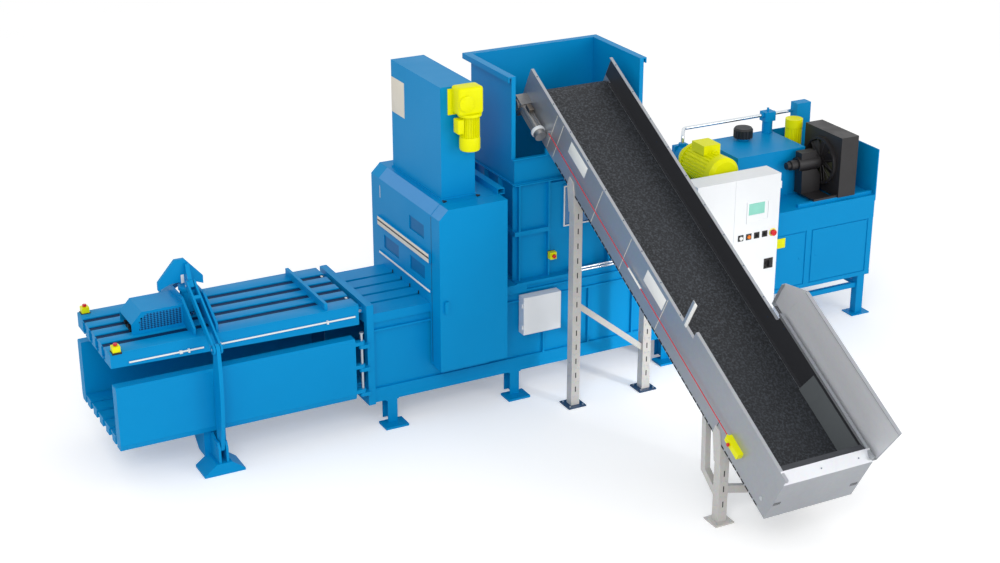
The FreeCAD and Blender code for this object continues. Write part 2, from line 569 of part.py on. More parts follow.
def make_clamp_cover():
    """Sheet cover over the hoses, open at the exit end, with a pierced front."""
    end = "clampX - yokeGap / 2 - yokePlate - seat"
    outer = [
        ("coverStart", "lidTop"), (end, "lidTop"), (end, "coverTop"), ("coverStart + coverFold", "coverTop"),
        ("coverStart", "coverShoulder"),
    ]
    shell = plate("XZ", outer, "0 - coverFront", "coverBack")
    inner = [
        ("coverStart - 1", "lidTop - 1"), (f"{end} - coverSheet", "lidTop - 1"),
        (f"{end} - coverSheet", "coverTop - coverSheet"), ("coverStart + coverFold", "coverTop - coverSheet"),
        ("coverStart - 1", "coverShoulder - coverSheet"),
    ]
    room = plate("XZ", inner, "coverSheet - coverFront", "coverBack - coverSheet")
    axis = FreeCAD.Vector(0, 1, 0)
    holes = []
    columns = int(number("coverVentColumns"))
    for row in range(int(number("coverVentRows"))):
        for column in range(columns):
            x = number("coverStart + coverVentStart") + (column + 0.5 * (row % 2)) * number("coverPitch")
            z = number("lidTop + coverPitch * 1.3") + row * number("coverPitch")
            centre = FreeCAD.Vector(x, number("0 - coverFront - 1"), z)
            corners = [centre + FreeCAD.Vector(math.cos(turn), 0, math.sin(turn)) * number("coverHole")
                       for turn in [math.radians(60 * step) for step in range(6)]]
            hole = Part.Face(Part.makePolygon(corners + [corners[0]]))
            holes.append(hole.extrude(axis * number("coverSheet + 2")))
    node("clamp_cover", [cut(shell, [room, solid(Part.makeCompound(holes))])])


# ---- press body ----


def make_press_body():
    wall = "channelWidth / 2"
    side = f"{wall}", "bodyHalf - wallInset"
    end = "bodyEnd"
    start = "portalX + portalPlate"
    frame = rectangle(("0 - portalHalf", "portalHalf"), ("portalLow", "portalTop"))
    mouth = rectangle((f"0 - {wall}", wall), ("floorTop", "lidUnderHinge"))
    pieces = [plate("YZ", frame, "portalX", start, windows=[mouth])]
    for span in both(side):
        pieces.append(box((start, end), span, ("beamTop - beamFlange", "bodyTop")))
    for span in both((wall, "bodyHalf")):
        pieces.append(box((start, end), span, ("bodyLow", "beamTop")))
        for low in ("recessLow - beamFlange", "recessHigh", "bodyTop - beamFlange"):
            pieces.append(box((start, end), span, (low, f"{low} + beamFlange")))
    for place in range(1, 7):
        x = f"tieEnd + ({place} * (bodyEnd - tieEnd - ribPlate) / 6)"
        for span in both((wall, "bodyHalf")):
            pieces.append(box((x, f"{x} + ribPlate"), span, ("beamTop - 1", "recessLow")))
    pieces.append(box((start, end), (f"0 - {wall}", wall), ("floorTop - railPlate", "floorTop")))
    for x in ("legStart", "legStart + legPitch", "legThird", "legFourth"):
        pieces.append(box((f"{x} - legWidth / 2", f"{x} + legWidth / 2"), (f"0 - {wall}", wall),
                          ("bodyLow", "floorTop - railPlate")))
    deck = box((start, "feedStart"), ("0 - bodyHalf", "bodyHalf"), ("lidUnderHinge", "bodyTop"))
    slots = []
    for place in (-1.5, -0.5, 0.5, 1.5):
        centre = f"({place}) * railPitch"
        slots.append(box((f"{start} - 1", "towerEnd"),
                         (f"{centre} - deckSlot / 2", f"{centre} + deckSlot / 2"),
                         ("lidUnderHinge - 1", "bodyTop + 1")))
    pieces.append(cut(deck, slots))
    pieces.append(box(("feedEnd", end), ("0 - bodyHalf", "bodyHalf"), ("lidUnderHinge", "bodyTop")))
    pieces.append(box((f"{end} - rearPlate", end), ("0 - bodyHalf", "bodyHalf"), ("bodyLow", "bodyTop")))
    for low in panelLugs:
        for edge in (-1, 1):
            middle = f"({edge}) * (channelWidth / 2 + sideThickness - lugHalf)"
            base = f"{low} - lugThickness - runClearance"
            inner = (f"{middle} - ({edge}) * 2 * lugHalf", middle)
            root = inner if edge > 0 else (inner[1], inner[0])
            lug = [
                box(("hingeRodX", "portalX + 1"), (f"{middle} - lugHalf", f"{middle} + lugHalf"),
                    (base, f"{base} + lugThickness")),
                box(("hingeRodX + lugHalf + 4", "portalX + 1"), root, (base, f"{base} + lugThickness")),
                rod("z", "lugHalf", base, f"{base} + lugThickness", "hingeRodX", middle),
            ]
            bore = rod("z", "hingeRod + seat", f"{base} - 1", f"{base} + lugThickness + 1", "hingeRodX",
                       middle)
            pieces.append(cut(fuse(lug), [bore]))
    for edge in (-1, 1):
        lug = f"({edge}) * (lidHalf - 2 * lidLug)"
        for low in (f"{lug} - lidLug / 2 - runClearance - lidLug / 2", f"{lug} + lidLug / 2 + runClearance"):
            ear = [
                box(("lidPinX", "portalX + 1"), (low, f"{low} + lidLug / 2"),
                    ("lidPinZ - lidLugHalf", "lidPinZ + lidLugHalf")),
                rod("y", "lidLugHalf", low, f"{low} + lidLug / 2", "lidPinX", "lidPinZ"),
            ]
            bore = rod("y", "lidPinRadius + seat", f"{low} - 1", f"{low} + lidLug / 2 + 1", "lidPinX",
                       "lidPinZ")
            pieces.append(cut(fuse(ear), [bore]))
    node("press_body", pieces)


def make_press_legs():
    pieces = []
    for x, inset in (("legStart", "0"), ("legStart + legPitch", "0"), ("legThird", "0"),
                     ("legFourth", "legPlateWidth")):
        for side in (-1, 1):
            y = f"({side}) * (legPlateY - {inset})"
            pieces.append(box((f"{x} - legPlateLength / 2", f"{x} + legPlateLength / 2"),
                              (f"{y} - legPlateWidth / 2", f"{y} + legPlateWidth / 2"), ("0", "footPlate")))
            inner = f"({side}) * (bodyHalf - legWidth - {inset})"
            outer = f"({side}) * (bodyHalf - seat - {inset})"
            low, high = (outer, inner) if side < 0 else (inner, outer)
            top = ("footPlate", "bodyLow")
            pieces.append(box((f"{x} - legFlange / 2", f"{x} + legFlange / 2"), (low, f"{low} + legSheet"),
                              top))
            pieces.append(box((f"{x} - legFlange / 2", f"{x} + legFlange / 2"), (f"{high} - legSheet", high),
                              top))
            pieces.append(box((f"{x} - legSheet / 2", f"{x} + legSheet / 2"), (low, high), top))
            pieces.append(box((f"{x} - legWidth / 2", f"{x} + legWidth / 2"), (low, high),
                              ("bodyLow - legSheet", "bodyLow")))
        half = f"(bodyHalf - legWidth - {inset})"
        pieces.append(box((f"{x} - legFlange / 4", f"{x} + legFlange / 4"), (f"0 - {half}", half),
                          ("bodyLow - legFlange", "bodyLow - legFlange / 2")))
    node("press_legs", pieces)


# ---- ram ----


def make_ram():
    half = "channelWidth / 2 - ramClearance"
    low = "floorTop + seat"
    high = "lidUnderHinge - ramClearance"
    block = box(("ramX", "ramX + ramLength"), (f"0 - ({half})", half), (low, high))
    room = box(("ramX + ramFace", "ramX + ramLength + 1"), (f"0 - ({half}) + ramSkin", f"{half} - ramSkin"),
               (f"{low} + ramSkin", f"{high} - ramSkin"))
    slots = []
    for place in (-1.5, -0.5, 0.5, 1.5):
        centre = f"({place}) * railPitch"
        slots.append(box(("ramX - 1", "ramX + ramSkin"),
                         (f"{centre} - deckSlot / 2", f"{centre} + deckSlot / 2"),
                         (f"{low} - 1", f"{high} + 1")))
    centre = ("0", ramCentre)
    bar = rod("x", "ramRod", "ramX + ramFace - 1", "ramRodEnd", *centre)
    piston = rod("x", "ramBore - rodClearance", "ramRodEnd - piston", "ramRodEnd", *centre)
    node("ram", [cut(block, [room] + slots), bar, piston])


ramCentre = "((floorTop + lidUnderHinge) / 2)"


def make_ram_cylinder():
    back = "bodyEnd - rearPlate"
    tube = rod("x", "ramBarrel", "barrelX", back, "0", ramCentre)
    bore = rod("x", "ramBore", "barrelX + gland", f"{back} - 1", "0", ramCentre)
    neck = rod("x", "ramRod + rodClearance", "barrelX - 1", "barrelX + gland + 1", "0", ramCentre)
    ring = rod("x", "ramBarrel + ramSkin", f"{back} - gland", back, "0", ramCentre)
    clear = rod("x", "ramBore", f"{back} - gland - 1", f"{back} - 1", "0", ramCentre)
    node("ram_cylinder", [cut(fuse([tube, ring]), [bore, neck, clear])])


# ---- tying unit ----

tieOutline = [
    ("tieStart", "tieLow"), ("tieEnd", "tieLow"), ("tieEnd", "tieTop"), ("tieStart + tieBevel", "tieTop"),
    ("tieStart", "tieTop - tieBevel"),
]
tieInside = [
    ("tieStart + tieSheet", "tieLow + tieSheet"), ("tieEnd - tieSheet", "tieLow + tieSheet"),
    ("tieEnd - tieSheet", "tieTop - tieSheet"), ("tieStart + tieBevel", "tieTop - tieSheet"),
    ("tieStart + tieSheet", "tieTop - tieBevel"),
]


def make_tie_housing():
    half = "(tieHalf - tieDoor - tieGap)"
    ring = plate("XZ", tieOutline, f"0 - {half}", half, windows=[tieInside])
    clear = box(("tieStart - 1", "tieEnd + 1"), ("0 - bodyHalf", "bodyHalf"), ("tieLow - 1", "bodyTop"))
    hatch = box(("towerStart + towerSheet", "towerEnd - towerSheet"),
                ("towerSheet - towerFront", "towerBack - towerSheet"), ("tieTop - tieBevel", "tieTop + 1"))
    openings = []
    for low, high, base in (("0 - 478", "0 - 119", "1967"), ("0 - 486", "0 - 123", "1516"),
                            ("163", "544", "1516")):
        openings.append(box(("tieStart - 1", "tieStart + tieSheet + 1"), (low, high),
                            (base, f"{base} + tieWindow")))
    pieces = [cut(ring, [clear, hatch] + openings)]
    pieces.append(plate("XZ", tieOutline, half, "tieHalf - tieSheet", windows=[tieInside]))
    pieces.append(plate("XZ", tieOutline, "tieHalf - tieSheet - 1", "tieHalf"))
    pieces.append(box(("tieStart - 30", "tieStart"), (f"0 - {half}", half), ("1757", "1862")))
    pieces.append(box(("tieStart - 18", "tieStart"), (f"0 - {half}", half), ("1425", "1455")))
    for low, high in (("0 - 478", "0 - 119"), ("0 - 486", "0 - 123"), ("163", "544")):
        base = "1967" if low == "0 - 478" else "1516"
        pieces.append(box(("tieStart + tieSheet", "tieStart + 2 * tieSheet"), (f"{low} - 20", f"{high} + 20"),
                          (f"{base} - 20", f"{base} + tieWindow + 20")))
    tray = box(("tieStart + 30", "tieEnd - 200"), ("0 - bodyHalf - trayDepth", "0 - bodyHalf"),
               ("tieLow - 4 * traySheet", "tieLow - 3 * traySheet"))
    lip = box(("tieStart + 30", "tieEnd - 200"),
              ("0 - bodyHalf - trayDepth", "traySheet - bodyHalf - trayDepth"),
              ("tieLow - 4 * traySheet", "tieLow - traySheet"))
    pieces.extend([tray, lip])
    for x in ("tieStart + 30", "tieEnd - 200 - traySheet"):
        pieces.append(box((x, f"{x} + traySheet"), ("0 - bodyHalf - trayDepth", "0 - bodyHalf"),
                          ("tieLow - 4 * traySheet", "tieLow - traySheet")))
        pieces.append(box((x, f"{x} + traySheet"), (f"0 - {half}", "0 - bodyHalf"),
                          ("tieLow - 2 * traySheet", "tieLow + 1")))
    for low in tieHinges:
        knuckle = (f"{low} + tieDoor / 2", f"{low} + 3 * tieDoor / 4")
        pieces.append(rod("z", "hingeRadius", *knuckle, "tieEnd + hingeRadius", "tieDoor - tieHalf"))
        pieces.append(box(("tieEnd - tieSheet", "tieEnd + hingeRadius"),
                          ("tieDoor - tieHalf", "tieDoor - tieHalf + hingeRadius"), knuckle))
    node("tie_housing", pieces)


tieHinges = ("tieLow + tieDoor", "tieTop - 2 * tieDoor")


def make_tie_door():
    """Deep sheet door on the operator's side, hinged at its right edge."""
    half = "(tieHalf - tieDoor)"
    face = plate("XZ", tieOutline, "0 - tieHalf", "tieSheet - tieHalf")
    rim = plate("XZ", tieOutline, "tieSheet - tieHalf - 1", f"0 - {half}", windows=[tieInside])
    pieces = [face, rim]
    for low in tieHinges:
        knuckle = [
            rod("z", "hingeRadius", low, f"{low} + tieDoor / 2", "tieEnd + hingeRadius", f"0 - {half}"),
            box(("tieEnd - tieSheet", "tieEnd + hingeRadius"), (f"0 - {half} - hingeRadius", f"0 - {half}"),
                (low, f"{low} + tieDoor / 2")),
        ]
        pieces.append(fuse(knuckle))
    handle = box(("tieStart + tieDoorFrame", "tieStart + 2 * tieDoorFrame"),
                 ("0 - tieHalf - 30", "1 - tieHalf"),
                 ("bodyTop - tieDoorFrame", "bodyTop + 2 * tieDoorFrame"))
    pieces.append(handle)
    node("tie_door", pieces)


def make_tie_tower():
    shell = box(("towerStart", "towerEnd"), ("0 - towerFront", "towerBack"), ("tieTop", "towerTop"))
    room = box(("towerStart + towerSheet", "towerEnd - towerSheet"),
               ("towerSheet - towerFront", "towerBack - towerSheet"), ("tieTop - 1", "towerTop - towerSheet"))
    middle = "((towerStart + towerEnd) / 2)"
    bore = rod("y", "shaftRadius + rodClearance", "0 - towerFront - 1", "towerSheet - towerFront + 1",
               middle, "shaftZ")
    collar = box(("towerStart - 14", "towerEnd + 14"), ("0 - towerFront - 14", "towerBack + 14"),
                 ("tieTop", "tieTop + 14"))
    hole = box(("towerStart + 1", "towerEnd - 1"), ("1 - towerFront", "towerBack - 1"),
               ("tieTop - 1", "tieTop + 15"))
    pieces = [cut(shell, [room, bore]), cut(collar, [hole])]
    for y in ("towerSheet - towerFront", "towerBack - towerSheet - 40"):
        for x in (f"{middle} - needleBeam / 2 - 20", f"{middle} + needleBeam / 2 + 1"):
            pieces.append(box((x, f"{x} + 19"), (y, f"{y} + 40"), ("tieTop", "towerTop - 4 * towerSheet")))
    hanger = box((f"{middle} - 40", f"{middle} + 40"), ("shaftY + 60", "shaftY + 90"),
                 ("shaftZ - 50", "towerTop - towerSheet + 1"))
    bearing = rod("y", "shaftRadius + rodClearance", "shaftY + 59", "shaftY + 91", middle, "shaftZ")
    pieces.append(cut(hanger, [bearing]))
    node("tie_tower", pieces)


def make_needle_shaft():
    middle = "((towerStart + towerEnd) / 2)"
    pieces = [rod("y", "shaftRadius", "0 - towerFront - 40", "shaftY + 95", middle, "shaftZ")]
    for y in ("0 - shaftY", "shaftY"):
        pieces.append(rod("y", "sprocketRadius", y, f"{y} + sprocketWidth", middle, "shaftZ"))
    node("needle_shaft", pieces)


def make_needle_carriage():
    """Cross beam that carries one tying needle over each slot of the deck."""
    middle = "((towerStart + towerEnd) / 2)"
    pieces = [box((f"{middle} - needleBeam / 2", f"{middle} + needleBeam / 2"),
                  ("towerSheet + seat - towerFront", "towerBack - towerSheet - seat"),
                  ("needleTop", "needleTop + needleBeam"))]
    for place in (-1.5, -0.5, 0.5, 1.5):
        pieces.append(rod("z", "needleRadius", "needleTop - needleLength", "needleTop + 1", middle,
                          f"({place}) * railPitch"))
    node("needle_carriage", pieces)


def make_tie_gearmotor():
    x = "((towerStart + towerEnd) / 2)"
    y = "0 - towerFront - gearPlate - gearDepth / 2"
    pieces = [
        box((f"{x} - gearLength / 2 - 30", f"{x} + gearLength / 2"),
            ("0 - towerFront - gearPlate", "0 - towerFront"),
            ("gearLow + 20", "towerTop - 20")),
        box((f"{x} - gearLength / 2", f"{x} + gearLength / 2"),
            ("0 - towerFront - gearPlate - gearDepth", "0 - towerFront - gearPlate"),
            ("gearLow + 60", "gearTop - 40")),
    ]
    pieces.append(rod("y", "gearDepth / 2 - 6", "0 - towerFront - gearPlate - gearDepth - 26",
                      "0 - towerFront - gearPlate", x, "shaftZ"))
    bore = rod("y", "shaftRadius + rodClearance", "0 - towerFront - 42", "1 - towerFront", x, "shaftZ")
    pieces = [cut(fuse(pieces), [bore])]
    motorX = f"({x} + 55)"
    pieces.append(rod("z", "motorRadius + 14", "gearLow + 30", "gearLow + 62", motorX, y))
    centre = FreeCAD.Vector(number(motorX), number(y), 0)
    pieces.append(solid(finned(FreeCAD.Vector(0, 0, 1), number("motorRadius - gearFin"), number("gearFin"),
                               number("motorLow"), number("gearLow + 31"), centre, 16)))
    pieces.append(rod("z", "motorRadius + 4", "cowlLow", "motorLow + 4", motorX, y))
    pieces.append(box((f"{motorX} - motorRadius - 52", f"{motorX} - motorRadius + 12"),
                      (f"{y} - 55", f"{y} + 55"),
                      ("motorLow + 60", "gearLow + 10")))
    node("tie_gearmotor", pieces)


# ---- hopper and chute ----


def make_hopper():
    x = ("hopperStart", "hopperEnd")
    y = ("0 - hopperFront", "hopperBack")
    block = box(x, y, ("hopperLow", "hopperTop"))
    room = box((f"{x[0]} + hopperSheet", f"{x[1]} - hopperSheet"),
               (f"{y[0]} + hopperSheet", f"{y[1]} - hopperSheet"),
               ("hopperLow - 1", "hopperTop + 1"))
    gate = box((f"{x[0]} + hopperSheet", f"{x[1]} - hopperSheet"),
               (f"{y[0]} - 1", f"{y[0]} + hopperSheet + 1"),
               ("hopperSill", "hopperTop + 1"))
    pieces = [cut(block, [room, gate])]
    rims = [
        box((f"{x[0]} - rimWidth", f"{x[0]} + 1"), (y[0], f"{y[1]} + rimWidth"),
            ("hopperTop - hopperSheet", "hopperTop")),
        box((f"{x[1]} - 1", f"{x[1]} + rimWidth"), (y[0], f"{y[1]} + rimWidth"),
            ("hopperTop - hopperSheet", "hopperTop")),
        box((x[0], x[1]), (f"{y[1]} - 1", f"{y[1]} + rimWidth"), ("hopperTop - hopperSheet", "hopperTop")),
        box((f"{x[0]} - rimWidth", f"{x[0]} - rimWidth + hopperSheet"), (y[0], f"{y[1]} + rimWidth"),
            ("hopperTop - rimDepth", "hopperTop")),
        box((f"{x[1]} + rimWidth - hopperSheet", f"{x[1]} + rimWidth"), (y[0], f"{y[1]} + rimWidth"),
            ("hopperTop - rimDepth", "hopperTop")),
        box((x[0], x[1]), (f"{y[1]} + rimWidth - hopperSheet", f"{y[1]} + rimWidth"),
            ("hopperTop - rimDepth", "hopperTop")),
    ]
    for edge in (f"{x[0]} - rimWidth / 2", f"{x[1]} - 1"):
        rims.append(box((edge, f"{edge} + rimWidth / 2 + 1"), (y[0], f"{y[0]} + hopperSheet"),
                        ("hopperSill", "hopperTop")))
    for z in ("hopperLow", "hopperSill - hopperSheet"):
        rims.append(box((f"{x[0]} - rimWidth / 2", f"{x[1]} + rimWidth / 2"),
                        (f"{y[0]} - rimWidth / 2", f"{y[0]} + 1"),
                        (z, f"{z} + hopperSheet")))
    saddle = ("(headZ + (0 - hopperFront - rimWidth / 2 - headY) * tan(inclineAngle)"
              " - sideHeight / cos(inclineAngle))")
    for near in ("beltStart", "beltEnd - rimWidth"):
        rims.append(box((near, f"{near} + rimWidth"), (f"{y[0]} - rimWidth / 2", y[0]),
                        ("hopperSill - 1", f"{saddle} - seat")))
    node("hopper", pieces + rims)


chuteHinges = ("chuteDoorLow + doorFrame", "chuteDoorHigh - 3 * doorFrame")
chuteHinge = ("chuteDoorStart - doorKnuckle", "0 - hopperFront - seat - doorSheet")


def make_chute():
    x = ("hopperStart + chuteInset", "hopperEnd - chuteInset")
    y = ("0 - hopperFront", "hopperBack")
    block = box(x, y, ("bodyTop", "hopperLow"))
    room = box((f"{x[0]} + hopperSheet", f"{x[1]} - hopperSheet"),
               (f"{y[0]} + hopperSheet", f"{y[1]} - hopperSheet"),
               ("bodyTop - 1", "hopperLow + 1"))
    door = box(("chuteDoorStart + doorFrame", "chuteDoorEnd - doorFrame"),
               (f"{y[0]} - 1", f"{y[0]} + hopperSheet + 1"),
               ("chuteDoorLow + doorFrame", "chuteDoorHigh - doorFrame"))
    pieces = [cut(block, [room, door])]
    foot = box((f"{x[0]} - chuteFlange", f"{x[1]} + chuteFlange"), ("0 - bodyHalf", "bodyHalf"),
               ("bodyTop", "bodyTop + hopperSheet"))
    gap = box((f"{x[0]} + hopperSheet", f"{x[1]} - hopperSheet"),
              (f"{y[0]} + hopperSheet", f"{y[1]} - hopperSheet"),
              ("bodyTop - 1", "bodyTop + hopperSheet + 1"))
    pieces.append(cut(foot, [gap]))
    middle = "((bodyTop + hopperLow) / 2)"
    for low, high in (("hopperLow - hopperSheet", "hopperLow"),
                      (f"{middle} - chuteFlange / 2", f"{middle} + chuteFlange / 2")):
        band = box((f"{x[0]} - chuteFlange", f"{x[1]} + chuteFlange"),
                   (f"{y[0]} - chuteFlange", f"{y[1]} + chuteFlange"), (low, high))
        tools = [box((f"{x[0]} + 1", f"{x[1]} - 1"), (f"{y[0]} + 1", f"{y[1]} - 1"),
                     (f"{low} - 1", f"{high} + 1"))]
        if low != "hopperLow - hopperSheet":
            tools.append(box(("chuteDoorStart - 4 * tieGap", "chuteDoorEnd + 4 * tieGap"),
                             (f"{y[0]} - chuteFlange - 1", y[0]), (f"{low} - 1", f"{high} + 1")))
        pieces.append(cut(band, tools))
    for place in (0, 1, 2, 3):
        low = f"{y[0]} + {place} * (hopperFront + hopperBack - ribPlate) / 3"
        for face in ((f"{x[0]} - chuteFlange", f"{x[0]} + 1"), (f"{x[1]} - 1", f"{x[1]} + chuteFlange")):
            pieces.append(box(face, (low, f"{low} + ribPlate"), ("bodyTop", "hopperLow")))
    for start in (x[0], "chuteDoorStart - ribPlate - 4 * tieGap", "chuteDoorEnd + 4 * tieGap",
                  f"{x[1]} - ribPlate"):
        pieces.append(box((start, f"{start} + ribPlate"), (f"{y[0]} - chuteFlange", f"{y[0]} + 1"),
                          ("bodyTop", "hopperLow")))
    for low in chuteHinges:
        upper = (f"{low} + knuckleLength + seat", f"{low} + 2 * knuckleLength")
        pieces.append(rod("z", "doorKnuckle", *upper, *chuteHinge))
        pieces.append(box(("chuteDoorStart - 4 * tieGap - 1", "chuteDoorStart - doorKnuckle"),
                          (f"{chuteHinge[1]} - doorKnuckle / 2", f"{chuteHinge[1]} + doorKnuckle / 2"),
                          upper))
    node("chute", pieces)


def make_chute_door():
    """Inspection door with a framed window, hinged on its left edge."""
    y = "(0 - hopperFront - seat)"
    outline = rectangle(("chuteDoorStart", "chuteDoorEnd"), ("chuteDoorLow", "chuteDoorHigh - hopperSheet"))
    view = rectangle(("windowStart", "windowEnd"), ("windowLow", "windowHigh"))
    pieces = [plate("XZ", outline, f"{y} - doorSheet", y, windows=[view])]
    rim = rectangle(("windowStart - 30", "windowEnd + 30"), ("windowLow - 30", "windowHigh + 30"))
    pieces.append(plate("XZ", rim, f"{y} - doorSheet - 10", f"{y} - doorSheet + 1", windows=[view]))
    pieces.append(box(("windowStart - 1", "windowEnd + 1"),
                      (f"{y} - doorSheet / 2 - glass", f"{y} - doorSheet / 2"),
                      ("windowLow - 1", "windowHigh + 1")))
    pieces.append(box(("chuteDoorEnd - doorFrame", "chuteDoorEnd - doorFrame / 2"),
                      (f"{y} - doorSheet - 34", f"{y} - doorSheet + 1"),
                      ("windowLow + 120", "windowLow + 260")))
    for low in chuteHinges:
        lower = (low, f"{low} + knuckleLength")
        pieces.append(rod("z", "doorKnuckle", *lower, *chuteHinge))
        pieces.append(box(("chuteDoorStart - doorKnuckle", "chuteDoorStart + 1"),
                          (f"{y} - doorSheet", f"{y} - doorSheet + doorKnuckle"), lower))
    node("chute_door", pieces)


# ---- small boxes and push-buttons ----


boxHinges = ("boxLow + doorFrame", "boxHigh - 2 * doorFrame")
boxHinge = ("boxStart - doorKnuckle", "0 - bodyHalf - boxDepth + boxDoor")


def make_junction_box():
    y = ("0 - bodyHalf - boxDepth", "0 - bodyHalf")
    block = box(("boxStart", "boxEnd"), (f"{y[0]} + boxDoor", y[1]), ("boxLow", "boxHigh"))
    room = box(("boxStart + glass", "boxEnd - glass"), (f"{y[0]} + boxDoor - 1", f"{y[1]} - glass"),
               ("boxLow + glass", "boxHigh - glass"))
    casing = [cut(block, [room])]
    door = [box(("boxStart", "boxEnd"), (y[0], f"{y[0]} + boxDoor - seat"), ("boxLow", "boxHigh"))]
    for low in boxHinges:
        middle = f"{low} + knuckleLength / 2"
        casing.append(rod("z", "doorKnuckle", f"{middle} + seat", f"{low} + knuckleLength", *boxHinge))
        casing.append(box(("boxStart - doorKnuckle", "boxStart + 1"),
                          (boxHinge[1], f"{boxHinge[1]} + doorKnuckle"),
                          (f"{middle} + seat", f"{low} + knuckleLength")))
        door.append(rod("z", "doorKnuckle", low, middle, *boxHinge))
        door.append(box(("boxStart - doorKnuckle", "boxStart + 1"),
                        (f"{boxHinge[1]} - doorKnuckle", f"{boxHinge[1]} - seat"), (low, middle)))
    node("junction_box", casing)
    for z in ("boxLow + doorFrame", "boxHigh - 2 * doorFrame"):
        door.append(rod("y", "stopStem", f"{y[0]} - seat * 4", f"{y[0]} + 1", "boxEnd - 30",
                        f"{z} + doorFrame / 2"))
    node("junction_door", door)


def make_stop_boxes():
    boxes = []
    half = "stopBox / 2"
    for side in (-1, 1):
        x = "lidStopX"
        y = f"({side}) * (lidHalf - {half})"
        block = [
            box((f"{x} - {half} - 4", f"{x} + {half} + 4"), (f"{y} - {half} - 4", f"{y} + {half} + 4"),
                ("lidTop", "lidTop + stopBase")),
            box((f"{x} - {half}", f"{x} + {half}"), (f"{y} - {half}", f"{y} + {half}"),
                ("lidTop + stopBase - 1", "lidTop + stopBase + stopHeight")),
        ]
        hole = rod("z", "stopStem + rodClearance", "lidTop + stopBase + stopTravel",
                   "lidTop + stopBase + stopHeight + 1", x, y)
        boxes.append(cut(fuse(block), [hole]))
        top = "lidTop + stopBase + stopHeight"
        button = [
            stem("z", f"{top} - 3 * stopTravel", f"{top} + 3 * stopTravel", x, y),
            rod("z", "stopHead", f"{top} + stopTravel + seat * 3", f"{top} + 4 * stopTravel", x, y),
        ]
        node("lid_button_front" if side < 0 else "lid_button_back", button)
    node("lid_stop_boxes", boxes)
    y = "0 - hopperFront - chuteFlange"
    block = box((f"chuteStopX - {half}", f"chuteStopX + {half}"), (f"{y} - stopHeight", y),
                (f"chuteStopZ - {half}", f"chuteStopZ + {half}"))
    hole = rod("y", "stopStem + rodClearance", f"{y} - stopHeight - 1", f"{y} - stopTravel", "chuteStopX",
               "chuteStopZ")
    node("chute_stop_box", [cut(block, [hole])])
    face = f"({y} - stopHeight)"
    node("chute_button", [
        stem("y", f"{face} - 3 * stopTravel", f"{face} + 3 * stopTravel", "chuteStopX", "chuteStopZ"),
        rod("y", "stopHead", f"{face} - 4 * stopTravel", f"{face} - stopTravel - seat * 3", "chuteStopX",
            "chuteStopZ"),
    ])


# ---- hydraulic power unit ----


